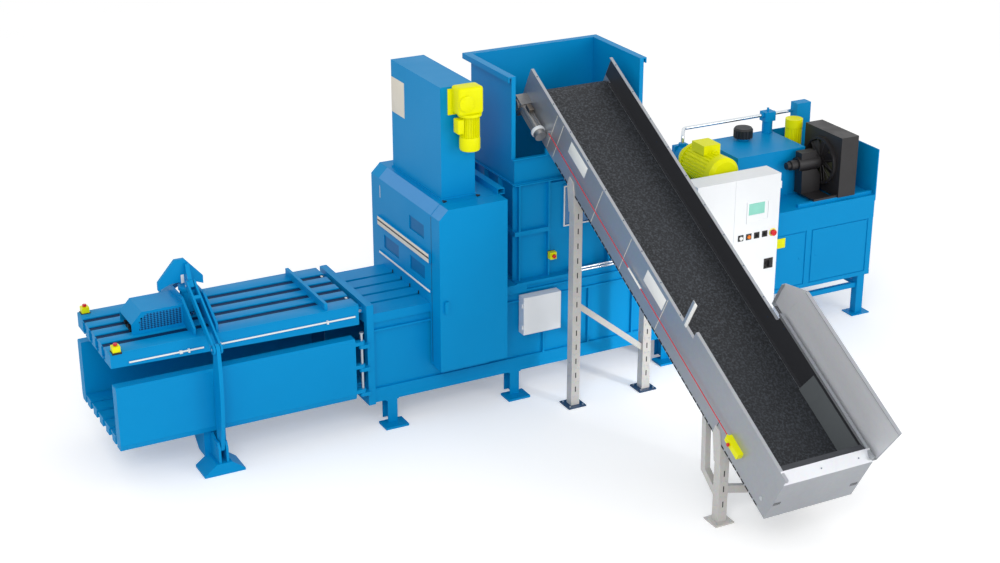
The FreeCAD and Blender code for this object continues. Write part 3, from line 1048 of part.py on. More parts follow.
def make_tank():
    front = "0 - tankFront"
    x = ("tankStart", "tankEnd")
    lower = box((f"{x[0]} + tankLip", f"{x[1]} - tankLip"), (f"{front} + tankLip", "tankBack - tankLip"),
                ("tankLow", "tankBand"))
    rooms = []
    for start, end in (("leftDoorStart", "leftDoorEnd"), ("rightDoorStart", "rightDoorEnd")):
        rooms.append(box((f"{start} + 25", f"{end} - 25"),
                         (f"{front} + tankLip - 1", f"{front} + doorRecess"),
                         ("tankDoorLow + 25", "tankDoorHigh - 25")))
    pieces = [cut(lower, rooms)]
    pieces.append(box(x, (front, "tankBack"), ("tankBand", "tankDeck")))
    pieces.append(box((x[0], "tankRecess"), ("0 - tankStep", "tankBack"), ("tankDeck - 1", "tankTop")))
    pieces.append(box((x[1] + " - tankSheet", x[1]), (front, "tankBack"), ("tankDeck - 1", "tankTop")))
    pieces.append(box(x, ("tankBack - tankSheet", "tankBack"), ("tankDeck - 1", "tankTop")))
    for start in ("tankStart + tankLip", "leftDoorEnd + 20", "rightDoorEnd + 20"):
        pieces.append(box((start, f"{start} + 70"), (front, f"{front} + tankLip + 1"),
                          ("tankLow", "tankBand")))
    for z in (("tankLow", "tankDoorLow - 12"), ("tankDoorHigh + 12", "tankBand + 1")):
        pieces.append(box((f"{x[0]} + tankLip", f"{x[1]} - tankLip"), (front, f"{front} + tankLip + 1"), z))
    legs = ("tankStart + legBox", "tankLegX")
    for centre in legs:
        for y in (f"{front} + legBox / 2 + 8", "tankBack - legBox / 2 - 8"):
            pieces.append(box((f"{centre} - legBox / 2", f"{centre} + legBox / 2"),
                              (f"{y} - legBox / 2", f"{y} + legBox / 2"),
                              ("footPlate / 2", "tankLow + 1")))
            pieces.append(box((f"{centre} - tankFoot / 2", f"{centre} + tankFoot / 2"),
                              (f"{y} - legPlateWidth / 2", f"{y} + legPlateWidth / 2"),
                              ("0", "footPlate / 2")))
        pieces.append(box((f"{centre} - legBox / 4", f"{centre} + legBox / 4"),
                          (f"{front} + legBox", "tankBack - legBox"),
                          ("strutLow", "strutHigh")))
    for y in (f"{front} + legBox / 2 + 8", "tankBack - legBox / 2 - 8"):
        pieces.append(box((legs[0], legs[1]), (f"{y} - legBox / 4", f"{y} + legBox / 4"),
                          ("strutLow", "strutHigh")))
    for y in ("0 - bodyHalf + legBox", "bodyHalf - 2 * legBox"):
        pieces.append(box(("bodyEnd", f"{x[0]} + tankLip + 1"), (y, f"{y} + legBox"),
                          ("tankLow + 20", "tankLow + 120")))
    pieces.append(box(("standStart", "tankStart + 1"), ("0 - tankFront", "tankBack"),
                      ("motorDeck - standSheet", "motorDeck")))
    for start in ("standStart", "tankStart - standPost"):
        for y in ("0 - tankFront", "tankBack - standPost"):
            pieces.append(box((start, f"{start} + standPost"), (y, f"{y} + standPost"),
                              ("bodyTop", "motorDeck - standSheet + 1")))
    for y in ("40 - coolerFront", "coolerBack - 100"):
        pieces.append(box(("tankRecess - 380", "tankEnd - 2 * tankSheet"),
                          (f"{y} - coolerRail / 2", f"{y} + coolerRail / 2"), ("tankDeck - 1", "coolerLow")))
    pieces.append(rod("z", "capNeck", "tankTop - 1", "tankTop + capNeckRise", "capX", "capY"))
    node("tank", pieces)


def make_tank_doors():
    """Flush doors, each turning on the rolled edge of its outer side."""
    y = ("0 - tankFront - tankDoorSheet + tankLip", "tankLip - tankFront - seat")
    z = ("tankDoorLow", "tankDoorHigh")
    bead = "((tankDoorSheet - seat) / 2)"
    left = f"leftDoorStart + {bead}"
    right = f"rightDoorEnd - {bead}"
    for label, x, hinge, lock in (("tank_door_left", (left, "leftDoorEnd"), left, "leftDoorEnd - 60"),
                                  ("tank_door_right", ("rightDoorStart", right), right,
                                   "rightDoorStart + 60")):
        pieces = [box(x, y, z), rod("z", bead, *z, hinge, f"{y[0]} + {bead}")]
        pieces.append(rod("y", "stopStem", f"{y[0]} - 6", f"{y[0]} + 1", lock,
                          "(tankDoorLow + tankDoorHigh) / 2"))
        node(label, pieces)


def make_filler_cap():
    """Knurled screw cap on the tank's filler neck."""
    axis = FreeCAD.Vector(0, 0, 1)
    centre = FreeCAD.Vector(number("capX"), number("capY"), 0)
    low = number("tankTop + capNeckRise + seat")
    cap = finned(axis, number("capRadius - 9"), 9, low, low + number("capHeight - 22"), centre, 18)
    lid = Part.makeCone(number("capRadius"), number("capRadius - 14"), 22,
                        FreeCAD.Vector(centre.x, centre.y, low + number("capHeight - 22")))
    node("filler_cap", [solid(cap.fuse(lid))])


def make_hydraulic_blocks():
    """Pump behind the main motor, return filter head and valve block."""
    y = "mainMotorBack"
    pieces = [
        rod("y", "pumpRadius", f"{y} + bellDepth + seat", f"{y} + bellDepth + pumpDepth", "mainMotorX",
            "motorDeck + mainMotorRise"),
        box(("mainMotorX - pumpRadius", "mainMotorX + pumpRadius"),
            (f"{y} + bellDepth + pumpDepth - 60", f"{y} + bellDepth + pumpDepth"),
            ("motorDeck + mainMotorRise - pumpRadius", "motorDeck + mainMotorRise + pumpRadius")),
        rod("z", "pipeBore + 22", "motorDeck + mainMotorRise",
            "motorDeck + mainMotorRise + pumpRadius + 30", "mainMotorX",
            f"{y} + bellDepth + pumpDepth - 70"),
    ]
    pieces.append(rod("z", "62", "tankTop", "tankTop + 150", "filterX", "filterY"))
    pieces.append(box(("filterX - 74", "filterX + 74"), ("filterY - 60", "filterY + 60"),
                      ("tankTop + 150", "tankTop + 262")))
    pieces.append(rod("z", "14", "tankTop + 260", "tankTop + 305", "filterX", "filterY"))
    pieces.append(rod("x", "34", "filterX - 96", "filterX + 96", "filterY", "pipeRunZ"))
    pieces.append(box(("valveX - 100", "valveX + 100"), ("valveY - 65", "valveY + 65"),
                      ("tankDeck", "tankTop + 330")))
    node("hydraulic_blocks", pieces)


def make_pump_motors():
    """Main motor lying along y on the stand, and the small upright filter motor."""
    axis = FreeCAD.Vector(0, 1, 0)
    centre = FreeCAD.Vector(number("mainMotorX"), 0, number("motorDeck + mainMotorRise"))
    radius = number("mainMotorRadius")
    fin = number("motorFin")
    front = number("0 - mainMotorFront")
    back = number("mainMotorBack")
    cowl = number("cowlDepth")
    frame = finned(axis, radius - fin, fin, front + cowl - 4, back - 40, centre, 28)
    flange = Part.makeCylinder(radius + 8, 44, FreeCAD.Vector(centre.x, back - 44, centre.z), axis)
    hood = Part.makeCylinder(radius + 4, cowl - 34, FreeCAD.Vector(centre.x, front + 34, centre.z), axis)
    nose = Part.makeCone(radius - 40, radius + 4, 35, FreeCAD.Vector(centre.x, front, centre.z), axis)
    bell = Part.makeCone(radius - 10, number("pumpRadius + 30"), number("bellDepth"),
                         FreeCAD.Vector(centre.x, back, centre.z), axis)
    pieces = [solid(frame.fuse([flange, hood, nose, bell]))]
    x = "mainMotorX"
    top = "motorDeck + mainMotorRise + mainMotorRadius"
    pieces.append(box((f"{x} - 110", f"{x} + 110"), ("0 - 190", "60"), (f"{top} - 30", f"{top} + 82")))
    for side in (-1, 1):
        middle = f"({x} + ({side}) * (mainMotorRadius - 50))"
        for y in ("0 - 300", "mainMotorBack - 130"):
            pieces.append(box((f"{middle} - 45", f"{middle} + 45"), (y, f"{y} + 80"),
                              ("motorDeck", "motorDeck + mainMotorRise - 100")))
    small = FreeCAD.Vector(number("auxMotorX"), number("auxMotorY"), 0)
    upright = finned(FreeCAD.Vector(0, 0, 1), number("auxMotorRadius") - 8, 8, number("tankDeck + 420"),
                     number("tankTop + 130"), small, 16)
    pieces.append(solid(upright))
    pieces.append(rod("z", "auxMotorRadius + 4", "tankTop + 120", "tankTop + 220", "auxMotorX", "auxMotorY"))
    pieces.append(rod("z", "auxMotorRadius - 20", "tankDeck", "tankDeck + 425", "auxMotorX", "auxMotorY"))
    node("pump_motors", pieces)


def make_pipes():
    """Pressure pipe from the pump to the filter and on to the valve block, and grease pipes."""
    bore = number("pipeBore")
    up = FreeCAD.Vector
    pumpY = number("mainMotorBack + bellDepth + pumpDepth - 70")
    start = up(number("mainMotorX"), pumpY, number("motorDeck + mainMotorRise + pumpRadius + 30 + seat"))
    high = up(start.x, start.y, number("pipeRunZ"))
    over = up(start.x + 130, number("filterY"), number("pipeRunZ"))
    stop = up(number("filterX - 96 - seat"), number("filterY"), number("pipeRunZ"))
    pieces = [solid(pipe([start, high, over, stop], bore, 60))]
    second = [up(number("filterX + 96 + seat"), number("filterY"), number("pipeRunZ")),
              up(number("valveX - 100 - seat"), number("filterY"), number("pipeRunZ"))]
    run = Part.makeCylinder(bore, (second[1] - second[0]).Length, second[0], second[1] - second[0])
    pieces.append(solid(run))
    y = "0 - bodyHalf - pipeRadius * 2"
    for z in ("bodyTop + 30", "bodyTop + 62"):
        pieces.append(rod("x", "pipeRadius + 3", "boxEnd + 200", "boxEnd + 900", y, z))
    for x in ("boxEnd + 240", "boxEnd + 820"):
        pieces.append(box((x, f"{x} + 20"), (f"{y} - 14", "0 - bodyHalf + 30"),
                          ("bodyTop + hopperSheet", "bodyTop + 78")))
    node("pipes", pieces)


def make_cooler():
    """Fan-blown oil cooler: core and shroud with a round mouth, and its motor on a bracket."""
    x = ("coolerStart", "coolerStart + coolerThickness")
    middleY = "((coolerBack - coolerFront) / 2)"
    middleZ = "((coolerLow + coolerHigh) / 2)"
    block = box(x, ("0 - coolerFront", "coolerBack"), ("coolerLow", "coolerHigh"))
    mouth = rod("x", "fanRadius", f"{x[0]} - 1", f"{x[0]} + coolerThickness / 2", middleY, middleZ)
    ring = rod("x", "fanRadius + 26", f"{x[0]} - 44", f"{x[0]} + 1", middleY, middleZ)
    tube = rod("x", "fanRadius", f"{x[0]} - 46", f"{x[0]} + 2", middleY, middleZ)
    pieces = [cut(block, [mouth]), cut(ring, [tube])]
    front = f"({x[0]} - 70)"
    pieces.append(rod("x", "fanMotorRadius", f"{front} - fanMotorLength", front, middleY, middleZ))
    pieces.append(rod("x", "fanMotorRadius - 26", f"{front} - fanMotorLength - 90",
                      f"{front} - fanMotorLength + 1", middleY, middleZ))
    pieces.append(rod("x", "fanMotorRadius - 42", f"{front} - fanMotorLength - 140",
                      f"{front} - fanMotorLength - 89", middleY, middleZ))
    pieces.append(box((f"{front} - fanMotorLength + 30", f"{front} - 60"),
                      (f"{middleY} - 60", f"{middleY} + 60"),
                      (f"{middleZ} + fanMotorRadius - 20", f"{middleZ} + fanMotorRadius + 60")))
    arm = [
        ("coolerStart - 320", "coolerLow"), ("coolerStart - 60", "coolerLow"),
        ("coolerStart - 60", f"{middleZ} - 150"),
        ("coolerStart - 120", f"{middleZ} - 70"), ("coolerStart - 330", f"{middleZ} - 70"),
    ]
    pieces.append(plate("XZ", arm, f"{middleY} - 70", f"{middleY} + 70"))
    pieces.append(box((f"{x[0]} - 330", f"{x[0]} + 1"), ("20 - coolerFront", "60 - coolerFront"),
                      ("coolerLow", "coolerLow + 26")))
    pieces.append(box((f"{x[0]} - 320", f"{x[0]} - 60"), ("20 - coolerFront", "0 - tankStep - 30"),
                      ("coolerLow", "coolerLow + 14")))
    pieces.append(rod("x", "fanShaft", f"{front} - 1", f"{x[0]} - 20", middleY, middleZ))
    node("cooler", pieces)


def make_cooler_fan():
    x = number("coolerStart")
    y = number("(coolerBack - coolerFront) / 2")
    z = number("(coolerLow + coolerHigh) / 2")
    axis = FreeCAD.Vector(1, 0, 0)
    hub = Part.makeCylinder(number("fanHub"), number("fanDepth"), FreeCAD.Vector(x - 34, y, z), axis)
    blades = []
    for index in range(7):
        blade = Part.makeBox(8, number("fanRadius - 8 - fanHub + 10"), 110,
                             FreeCAD.Vector(-4, number("fanHub - 10"), -55))
        blade.rotate(FreeCAD.Vector(), FreeCAD.Vector(0, 1, 0), 24)
        blade.rotate(FreeCAD.Vector(), axis, index * 360 / 7)
        blade.translate(FreeCAD.Vector(x - 2, y, z))
        blades.append(blade)
    limit = Part.makeCylinder(number("fanRadius - 4"), 200, FreeCAD.Vector(x - 100, y, z), axis)
    bore = Part.makeCylinder(number("fanShaft + seat"), 17, FreeCAD.Vector(x - 36, y, z), axis)
    node("cooler_fan", [solid(hub.fuse(blades).common(limit).cut(bore))])


# ---- control cabinet ----

cabinetBack = "(0 - bodyHalf - seat)"
cabinetFace = f"({cabinetBack} - cabinetDepth)"
controlNames = ("start_button", "reset_button", "mode_selector", "speed_selector")


def control_spot(index):
    return f"(controlStart + {index} * controlPitch)"


def make_cabinet():
    y = (f"{cabinetFace} + cabinetDoorSheet + seat", cabinetBack)
    z = ("cabinetPlinth", "cabinetTop")
    block = box(("cabinetStart", "cabinetEnd"), y, z)
    room = box(("cabinetStart + cabinetSheet", "cabinetEnd - cabinetSheet"),
               (f"{y[0]} - 1", f"{y[1]} - cabinetSheet"),
               (f"{z[0]} + cabinetSheet", f"{z[1]} - cabinetSheet"))
    post = box(("cabinetSeam - 25", "cabinetSeam - 3"), (y[0], f"{y[0]} + 40"), z)
    plinth = box(("cabinetStart + 20", "cabinetEnd - 20"), (f"{y[0]} + 20", f"{y[1]}"),
                 ("0", "cabinetPlinth + 1"))
    left = box(("cabinetStart", "cabinetSeam - 3"), (cabinetFace, f"{y[0]} + 1"), z)
    node("cabinet", [cut(block, [room]), post, plinth, left])
    bores = [(control_spot(index), "controlZ", "controlRadius + rodClearance") for index in range(4)]
    bores.append((control_spot(4), "controlZ", "stopStem + rodClearance"))
    bores.append(("switchX", "switchZ", "stopStem + rodClearance"))
    outline = rectangle(("cabinetSeam", "cabinetEnd"), z)
    door = [plate("XZ", outline, cabinetFace, f"{cabinetFace} + cabinetDoorSheet", holes=bores)]
    frame = rectangle(("panelStart", "panelEnd"), ("panelLow", "panelHigh"))
    pocket = rectangle(("panelStart + 25", "panelEnd - 25"), ("panelLow + 25", "panelHigh - 25"))
    door.append(plate("XZ", frame, f"{cabinetFace} - 8", f"{cabinetFace} + 1", windows=[pocket]))
    door.append(rod("z", "hingeRadius", "cabinetPlinth + 100", "cabinetPlinth + 180",
                    "cabinetEnd + hingeRadius", f"{cabinetFace} + hingeRadius"))
    door.append(rod("z", "hingeRadius", "cabinetTop - 180", "cabinetTop - 100", "cabinetEnd + hingeRadius",
                    f"{cabinetFace} + hingeRadius"))
    for low in ("cabinetPlinth + 100", "cabinetTop - 180"):
        door.append(box(("cabinetEnd - 5", "cabinetEnd + hingeRadius"),
                        (cabinetFace, f"{cabinetFace} + hingeRadius"), (low, f"{low} + 80")))
    node("cabinet_door", door)


def make_controls():
    """Push-buttons, selector knobs, stop button and main switch on the cabinet's door."""
    inner = f"{cabinetFace} + cabinetDoorSheet"
    for index, label in enumerate(controlNames):
        x = control_spot(index)
        pieces = [rod("y", "controlRadius", f"{cabinetFace} - 12", inner, x, "controlZ")]
        if index > 1:
            pieces.append(box((f"{x} - 5", f"{x} + 5"), (f"{cabinetFace} - 28", f"{cabinetFace} - 11"),
                              ("controlZ - controlRadius", "controlZ + controlRadius + 6")))
        else:
            pieces.append(rod("y", "controlRadius + 6", f"{cabinetFace} - 16",
                              f"{cabinetFace} - controlTravel - seat", x, "controlZ"))
        node(label, pieces)
    x = control_spot(4)
    node("cabinet_stop_button", [
        stem("y", f"{cabinetFace} - 30", inner, x, "controlZ"),
        rod("y", "2 * stopHead - 8", f"{cabinetFace} - 34", f"{cabinetFace} - stopTravel - seat * 3", x,
            "controlZ"),
    ])
    node("main_switch", [
        rod("y", "stopStem", f"{cabinetFace} - 12", inner, "switchX", "switchZ"),
        rod("y", "switchHalf - 12", f"{cabinetFace} - 12", f"{cabinetFace} - seat", "switchX", "switchZ"),
        box(("switchX - 12", "switchX + 12"), (f"{cabinetFace} - 44", f"{cabinetFace} - 11"),
            ("switchZ - switchHalf + 16", "switchZ + switchHalf - 16")),
    ])


# ---- inclined conveyor, drawn level along its belt with 0 at the head end's top edge ----


def make_conveyor_frame():
    tail = "(0 - conveyorRun)"
    floor = "(0 - sideHeight)"
    shafts = [("0 - drumInset", drumUp, "drumShaft + rodClearance"),
              ("drumInset - conveyorRun", drumUp, "drumShaft + rodClearance")]
    outline = [("0", "0"), (tail, "0"), (tail, floor), ("0", floor)]
    walls = [("beltStart", "beltStart + sideSheet"), ("beltEnd - sideSheet", "beltEnd")]
    pieces = []
    for low, high in walls:
        pieces.append(plate("YZ", outline, low, high, holes=shafts))
    for low, high in (("beltStart", "beltStart + sideFlange"), ("beltEnd - sideFlange", "beltEnd")):
        pieces.append(box((low, high), ("0 - sideRun", "0"), ("0 - sideSheet", "0")))
        pieces.append(box((low, high), (tail, "0"), (floor, f"{floor} + sideSheet")))
        pieces.append(box((low, high), (tail, "0 - sideRun"), ("troughRise - sideFlange", "troughRise")))
    for low, high in walls:
        pieces.append(box((low, high), (tail, "0 - sideRun"), ("0 - sideSheet", "troughRise - 1")))
    span = ("beltStart + sideSheet - 1", "beltEnd - sideSheet + 1")
    bed = f"(0 - beltDrop - beltThickness - seat)"
    pieces.append(box(span, ("2 * drumInset - conveyorRun", "0 - 2 * drumInset"),
                      (f"{bed} - sideSheet", bed)))
    for share in range(1, 8):
        s = f"(0 - {share} * conveyorRun / 8)"
        pieces.append(box(span, (f"{s} - 30", f"{s} + 30"), (f"{bed} - 96", f"{bed} - sideSheet + 1")))
    for low, high in (("beltStart + sideSheet - 1", "beltStart + beltGap + 20"),
                      ("beltEnd - beltGap - 20", "beltEnd - sideSheet + 1")):
        pieces.append(box((low, high), (f"{tail} + drumInset", "0 - drumInset"),
                          ("seat - beltDrop", "sideSheet - beltDrop")))
    bar = [
        (f"{tail} - endPlate", "sideFlange"), (tail, "sideFlange - endPlate"),
        (f"{tail} + 3 * sideFlange", "troughRise"), (f"{tail} + 3 * sideFlange", "troughRise + endPlate"),
    ]
    pieces.append(plate("YZ", bar, "beltStart", "beltEnd"))
    pieces.append(box(("beltStart", "beltEnd"), (f"{tail} - endPlate", tail), (f"{floor}", "sideFlange")))
    wing = [
        ("0 - wingStart", "sideFlange"), ("0 - wingStart", "wingEdge"), ("0 - wingCorner", "wingHigh"),
        (f"{tail} - 2 * sideFlange", "wingHigh"), (tail, "sideFlange"),
    ]
    pieces.append(plate("YZ", list(reversed(wing)), "beltEnd + wingGap", "beltEnd + wingGap + sideSheet"))
    pieces.append(box(("beltEnd", "beltEnd + wingGap + 1"), ("0 - wingStart - sideSheet", "0 - wingStart"),
                      ("sideFlange", "wingEdge")))
    pieces.append(box(("beltEnd - 1", "beltEnd + wingGap + 1"), (tail, "0 - wingStart"),
                      ("sideFlange", "sideFlange + sideSheet")))
    pieces.append(box(("beltEnd + wingGap + 1 - sideFlange", "beltEnd + wingGap + 1"),
                      (f"{tail} - 2 * sideFlange", "0 - wingCorner"),
                      ("wingHigh - sideSheet", "wingHigh")))
    pieces.append(box(("beltStart", "beltStart + 12"), ("0 - wingStart", "sideFlange - wingStart"),
                      ("0 - sideSheet", "wingEdge")))
    pieces.append(box(("beltStart - cordOut - 8", "beltStart + 1"),
                      ("0 - cordStart - 30", "0 - cordStart - 6"),
                      ("0 - cordDrop - 14", "14 - cordDrop")))
    node("conveyor_frame", pieces, inclined=True)


drumUp = "(0 - beltDrop - beltThickness - seat - drumRadius)"


def make_drums():
    for label, s in (("head_drum", "(0 - drumInset)"), ("tail_drum", "(drumInset - conveyorRun)")):
        drum = rod("x", "drumRadius", "beltStart + beltGap + 4", "beltEnd - beltGap - 4", s, drumUp)
        reach = "12" if label == "head_drum" else "4"
        shaft = rod("x", "drumShaft", f"beltStart - {reach}", "beltEnd + 12", s, drumUp)
        node(label, [drum, shaft], inclined=True)


def make_belt():
    """Endless belt round both drums."""
    axis = FreeCAD.Vector(1, 0, 0)
    centre = number(drumUp)
    ends = (number("0 - drumInset"), number("drumInset - conveyorRun"))
    faces = []
    for radius in (number("drumRadius + seat + beltThickness"), number("drumRadius + seat")):
        head = Part.Arc(FreeCAD.Vector(0, ends[0], centre + radius),
                        FreeCAD.Vector(0, ends[0] + radius, centre),
                        FreeCAD.Vector(0, ends[0], centre - radius)).toShape()
        under = Part.LineSegment(FreeCAD.Vector(0, ends[0], centre - radius),
                                 FreeCAD.Vector(0, ends[1], centre - radius)).toShape()
        tail = Part.Arc(FreeCAD.Vector(0, ends[1], centre - radius),
                        FreeCAD.Vector(0, ends[1] - radius, centre),
                        FreeCAD.Vector(0, ends[1], centre + radius)).toShape()
        over = Part.LineSegment(FreeCAD.Vector(0, ends[1], centre + radius),
                                FreeCAD.Vector(0, ends[0], centre + radius)).toShape()
        faces.append(Part.Face(Part.Wire([head, under, tail, over])))
    low = number("beltStart + beltGap")
    wide = number("beltEnd - beltStart - 2 * beltGap")
    loops = []
    for face in faces:
        face.translate(axis * low)
        loops.append(face.extrude(axis * wide))
    node("belt", [solid(loops[0].cut(loops[1]))], inclined=True)


def make_conveyor_gearmotor():
    s = "(0 - drumInset)"
    block = box(("beltStart - 2 * driveRadius - 10", "beltStart"), (f"{s} - 75", f"{s} + 75"),
                (f"{drumUp} - 90", f"{drumUp} + 80"))
    bore = rod("x", "drumShaft + rodClearance", "beltStart - 13", "beltStart + 1", s, drumUp)
    middle = "(beltStart - driveRadius - 8)"
    pieces = [cut(block, [bore])]
    pieces.append(rod("x", "driveRadius", "beltStart - 2 * driveRadius - 26",
                      "beltStart - 2 * driveRadius - 9", s, drumUp))
    centre = FreeCAD.Vector(number(middle), 0, number(drumUp))
    start = number(f"{s} - 74 - driveLength")
    pieces.append(solid(finned(FreeCAD.Vector(0, 1, 0), number("driveRadius - 7"), 7, start,
                               number(f"{s} - 100"), centre, 14)))
    pieces.append(rod("y", "driveRadius + 4", f"{s} - 104", f"{s} - 74", middle, drumUp))
    pieces.append(rod("y", "driveRadius + 2", f"{s} - 74 - driveLength - 70", f"{s} - 72 - driveLength",
                      middle, drumUp))
    node("conveyor_gearmotor", pieces, inclined=True)


def make_conveyor_legs():
    """Two pairs of box-section legs under the side walls, with feet, head brackets and braces."""
    pieces = []
    for y, foot in (("supportY", "supportFoot"), ("lowSupportY", "supportFoot")):
        top = (f"(headZ + ({y} - supportBox / 2 - headY) * tan(inclineAngle)"
               " - sideHeight / cos(inclineAngle) - seat)")
        for x in ("beltStart", "beltEnd - supportBox"):
            pieces.append(box((x, f"{x} + supportBox"), (f"{y} - supportBox / 2", f"{y} + supportBox / 2"),
                              ("10", top)))
            pieces.append(box((f"{x} + supportBox / 2 - {foot} / 2", f"{x} + supportBox / 2 + {foot} / 2"),
                              (f"{y} - {foot} / 2", f"{y} + {foot} / 2"), ("0", "14")))
            outside = ("beltStart - 10", "beltStart") if x == "beltStart" else ("beltEnd", "beltEnd + 10")
            head = [
                (f"{y} - supportBox / 2", f"{top} - 190"), (f"{y} + supportBox / 2", f"{top} - 190"),
                (f"{y} + supportBox * 0.9", f"{top} + 100"), (f"{y} + supportBox / 2", f"{top} + 190"),
                (f"{y} - supportBox * 0.2", f"{top} + 150"), (f"{y} - supportBox / 2", f"{top} + 10"),
            ]
            pieces.append(plate("YZ", head, outside[0], outside[1]))
    for y, low, high in (("supportY", "470", "1110"), ("lowSupportY", "110", "300")):
        brace = [
            ("beltEnd - supportBox + 1", low), ("beltEnd - supportBox + 1", f"{low} + 80"),
            ("beltStart + supportBox - 1", f"{high} + 80"), ("beltStart + supportBox - 1", high),
        ]
        pieces.append(plate("XZ", list(reversed(brace)), f"{y} - 25", f"{y} + 25"))
    for x in ("beltStart", "beltEnd - supportBox"):
        low = "(headZ + (lowSupportY + 320 - headY) * tan(inclineAngle) - sideHeight / cos(inclineAngle))"
        tie = [
            ("lowSupportY + supportBox / 2 - 1", "230"), ("lowSupportY + supportBox / 2 + 250", "420"),
            ("lowSupportY + 320", f"{low} - seat * 4"), ("lowSupportY + 250", f"{low} - 60"),
            ("lowSupportY + supportBox / 2 + 180", "460"), ("lowSupportY + supportBox / 2 - 1", "320"),
        ]
        pieces.append(plate("YZ", tie, f"{x} + 20", f"{x} + supportBox - 20"))
    node("conveyor_legs", pieces)


def make_pull_switch():
    """Pull-cord stop switch, its taut cord along the conveyor's side, and the reset knob."""
    x = ("beltStart - pullSwitchWidth", "beltStart")
    s = ("0 - cordEnd - pullSwitchLength", "0 - cordEnd")
    block = box(x, s, ("0 - cordDrop - pullSwitchWidth / 2", "pullSwitchWidth / 2 - cordDrop"))
    middle = "(0 - cordEnd - pullSwitchLength / 3)"
    bore = rod("x", "stopStem + rodClearance", f"{x[0]} - 1", f"{x[0]} + 20", middle, "0 - cordDrop")
    eye = rod("y", "3 * cordRadius", "0 - cordEnd - 1", "0 - cordEnd + 24", "beltStart - cordOut",
              "0 - cordDrop")
    node("pull_switch", [cut(block, [bore]), eye], inclined=True)
    node("pull_knob", [
        stem("x", f"{x[0]} - 14", f"{x[0]} + 12", middle, "0 - cordDrop"),
        rod("x", "stopHead - 4", f"{x[0]} - 22", f"{x[0]} - stopTravel - seat", middle, "0 - cordDrop"),
    ], inclined=True)
    cord = [rod("y", "cordRadius", "0 - cordEnd + 24", "0 - cordStart - 30", "beltStart - cordOut",
                "0 - cordDrop")]
    grip = "(0 - (cordStart + cordEnd) / 2)"
    cord.append(rod("y", "3 * cordRadius", f"{grip} - 90", f"{grip} + 90", "beltStart - cordOut",
                    "0 - cordDrop"))
    node("pull_cord", cord, inclined=True)


make_channel_floor()
make_side_panel("side_panel_front", -1)
make_side_panel("side_panel_back", 1)
make_hinge_pins()
make_channel_lid()
make_lid_pipe()
make_clamp_base()
make_clamp_arm("clamp_arm_front", -1)
make_clamp_arm("clamp_arm_back", 1)
make_clamp_links("clamp_links_front", -1)
make_clamp_links("clamp_links_back", 1)
make_clamp_crosshead()
make_clamp_rod()
make_clamp_cover()
make_press_body()
make_press_legs()
make_ram()
make_ram_cylinder()
make_tie_housing()
make_tie_door()
make_tie_tower()
make_needle_shaft()
make_needle_carriage()
make_tie_gearmotor()
make_hopper()
make_chute()
make_chute_door()
make_junction_box()
make_stop_boxes()
make_tank()
make_tank_doors()
make_filler_cap()
make_hydraulic_blocks()
make_pump_motors()
make_pipes()
make_cooler()
make_cooler_fan()
make_cabinet()
make_controls()
make_conveyor_frame()
make_drums()
make_belt()
make_conveyor_gearmotor()
make_conveyor_legs()
make_pull_switch()

doc.recompute()
for thing in doc.Objects:
    if "Invalid" in thing.State or "Error" in thing.State:
        raise RuntimeError(f"{thing.Name} ({thing.Label}) failed")
for part in nodes:
    if part.Shape.isNull() or not part.Shape.isValid() or not part.Shape.Solids:
        raise RuntimeError(f"{part.Label} has no valid solid")
os.makedirs("parts", exist_ok=True)
for part in nodes:
    part.Shape.exportStep(f"parts/{part.Label}.step")
    print(part.Label, len(part.Shape.Solids))
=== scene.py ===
import math

import bmesh
import bpy
from mathutils import Matrix, Vector


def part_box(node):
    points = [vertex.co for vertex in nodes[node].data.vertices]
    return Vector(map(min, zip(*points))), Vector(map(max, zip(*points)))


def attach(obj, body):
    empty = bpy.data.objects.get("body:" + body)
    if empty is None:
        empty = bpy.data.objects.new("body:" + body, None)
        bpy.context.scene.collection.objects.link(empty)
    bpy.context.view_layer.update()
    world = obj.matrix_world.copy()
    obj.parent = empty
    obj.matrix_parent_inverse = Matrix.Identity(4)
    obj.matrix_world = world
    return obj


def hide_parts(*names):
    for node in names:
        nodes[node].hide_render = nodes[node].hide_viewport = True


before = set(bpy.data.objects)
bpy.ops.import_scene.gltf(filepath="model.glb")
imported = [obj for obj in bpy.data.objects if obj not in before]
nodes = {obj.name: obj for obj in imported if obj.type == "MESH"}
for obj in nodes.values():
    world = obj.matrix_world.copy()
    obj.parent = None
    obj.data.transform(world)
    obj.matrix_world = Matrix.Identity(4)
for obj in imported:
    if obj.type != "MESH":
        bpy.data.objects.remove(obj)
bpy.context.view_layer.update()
print("frame loaded:", len(nodes), "CAD nodes")

# The press's own measure: millimetres from the bale outlet, from the centre line and from the floor.
channelLow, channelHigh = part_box("channel_floor")
outletX = channelLow.x
centreY = (channelLow.y + channelHigh.y) / 2
pressFrame = Matrix.Translation((outletX, centreY, 0)) @ Matrix.Scale(0.001, 4)

# The conveyor's own measure: x as above, y up along its belt and z square to the belt, both from its head's
# top edge.
conveyor = {"angle": 29.3, "headY": -185, "headZ": 3521, "left": 4800, "right": 5790, "sideRun": 3690}
beltFrame = (pressFrame @ Matrix.Translation((0, conveyor["headY"], conveyor["headZ"]))
             @ Matrix.Rotation(math.radians(conveyor["angle"]), 4, "X"))


# Fitted to the photograph's own lines: place in metres, turn in degrees, lens and sensor in millimetres.
photoCamera = {"place": (-8.670, -14.252, 8.808), "turn": (67.397, 0, -27.58), "lens": 65.69, "sensor": 36,
               "far": 300}


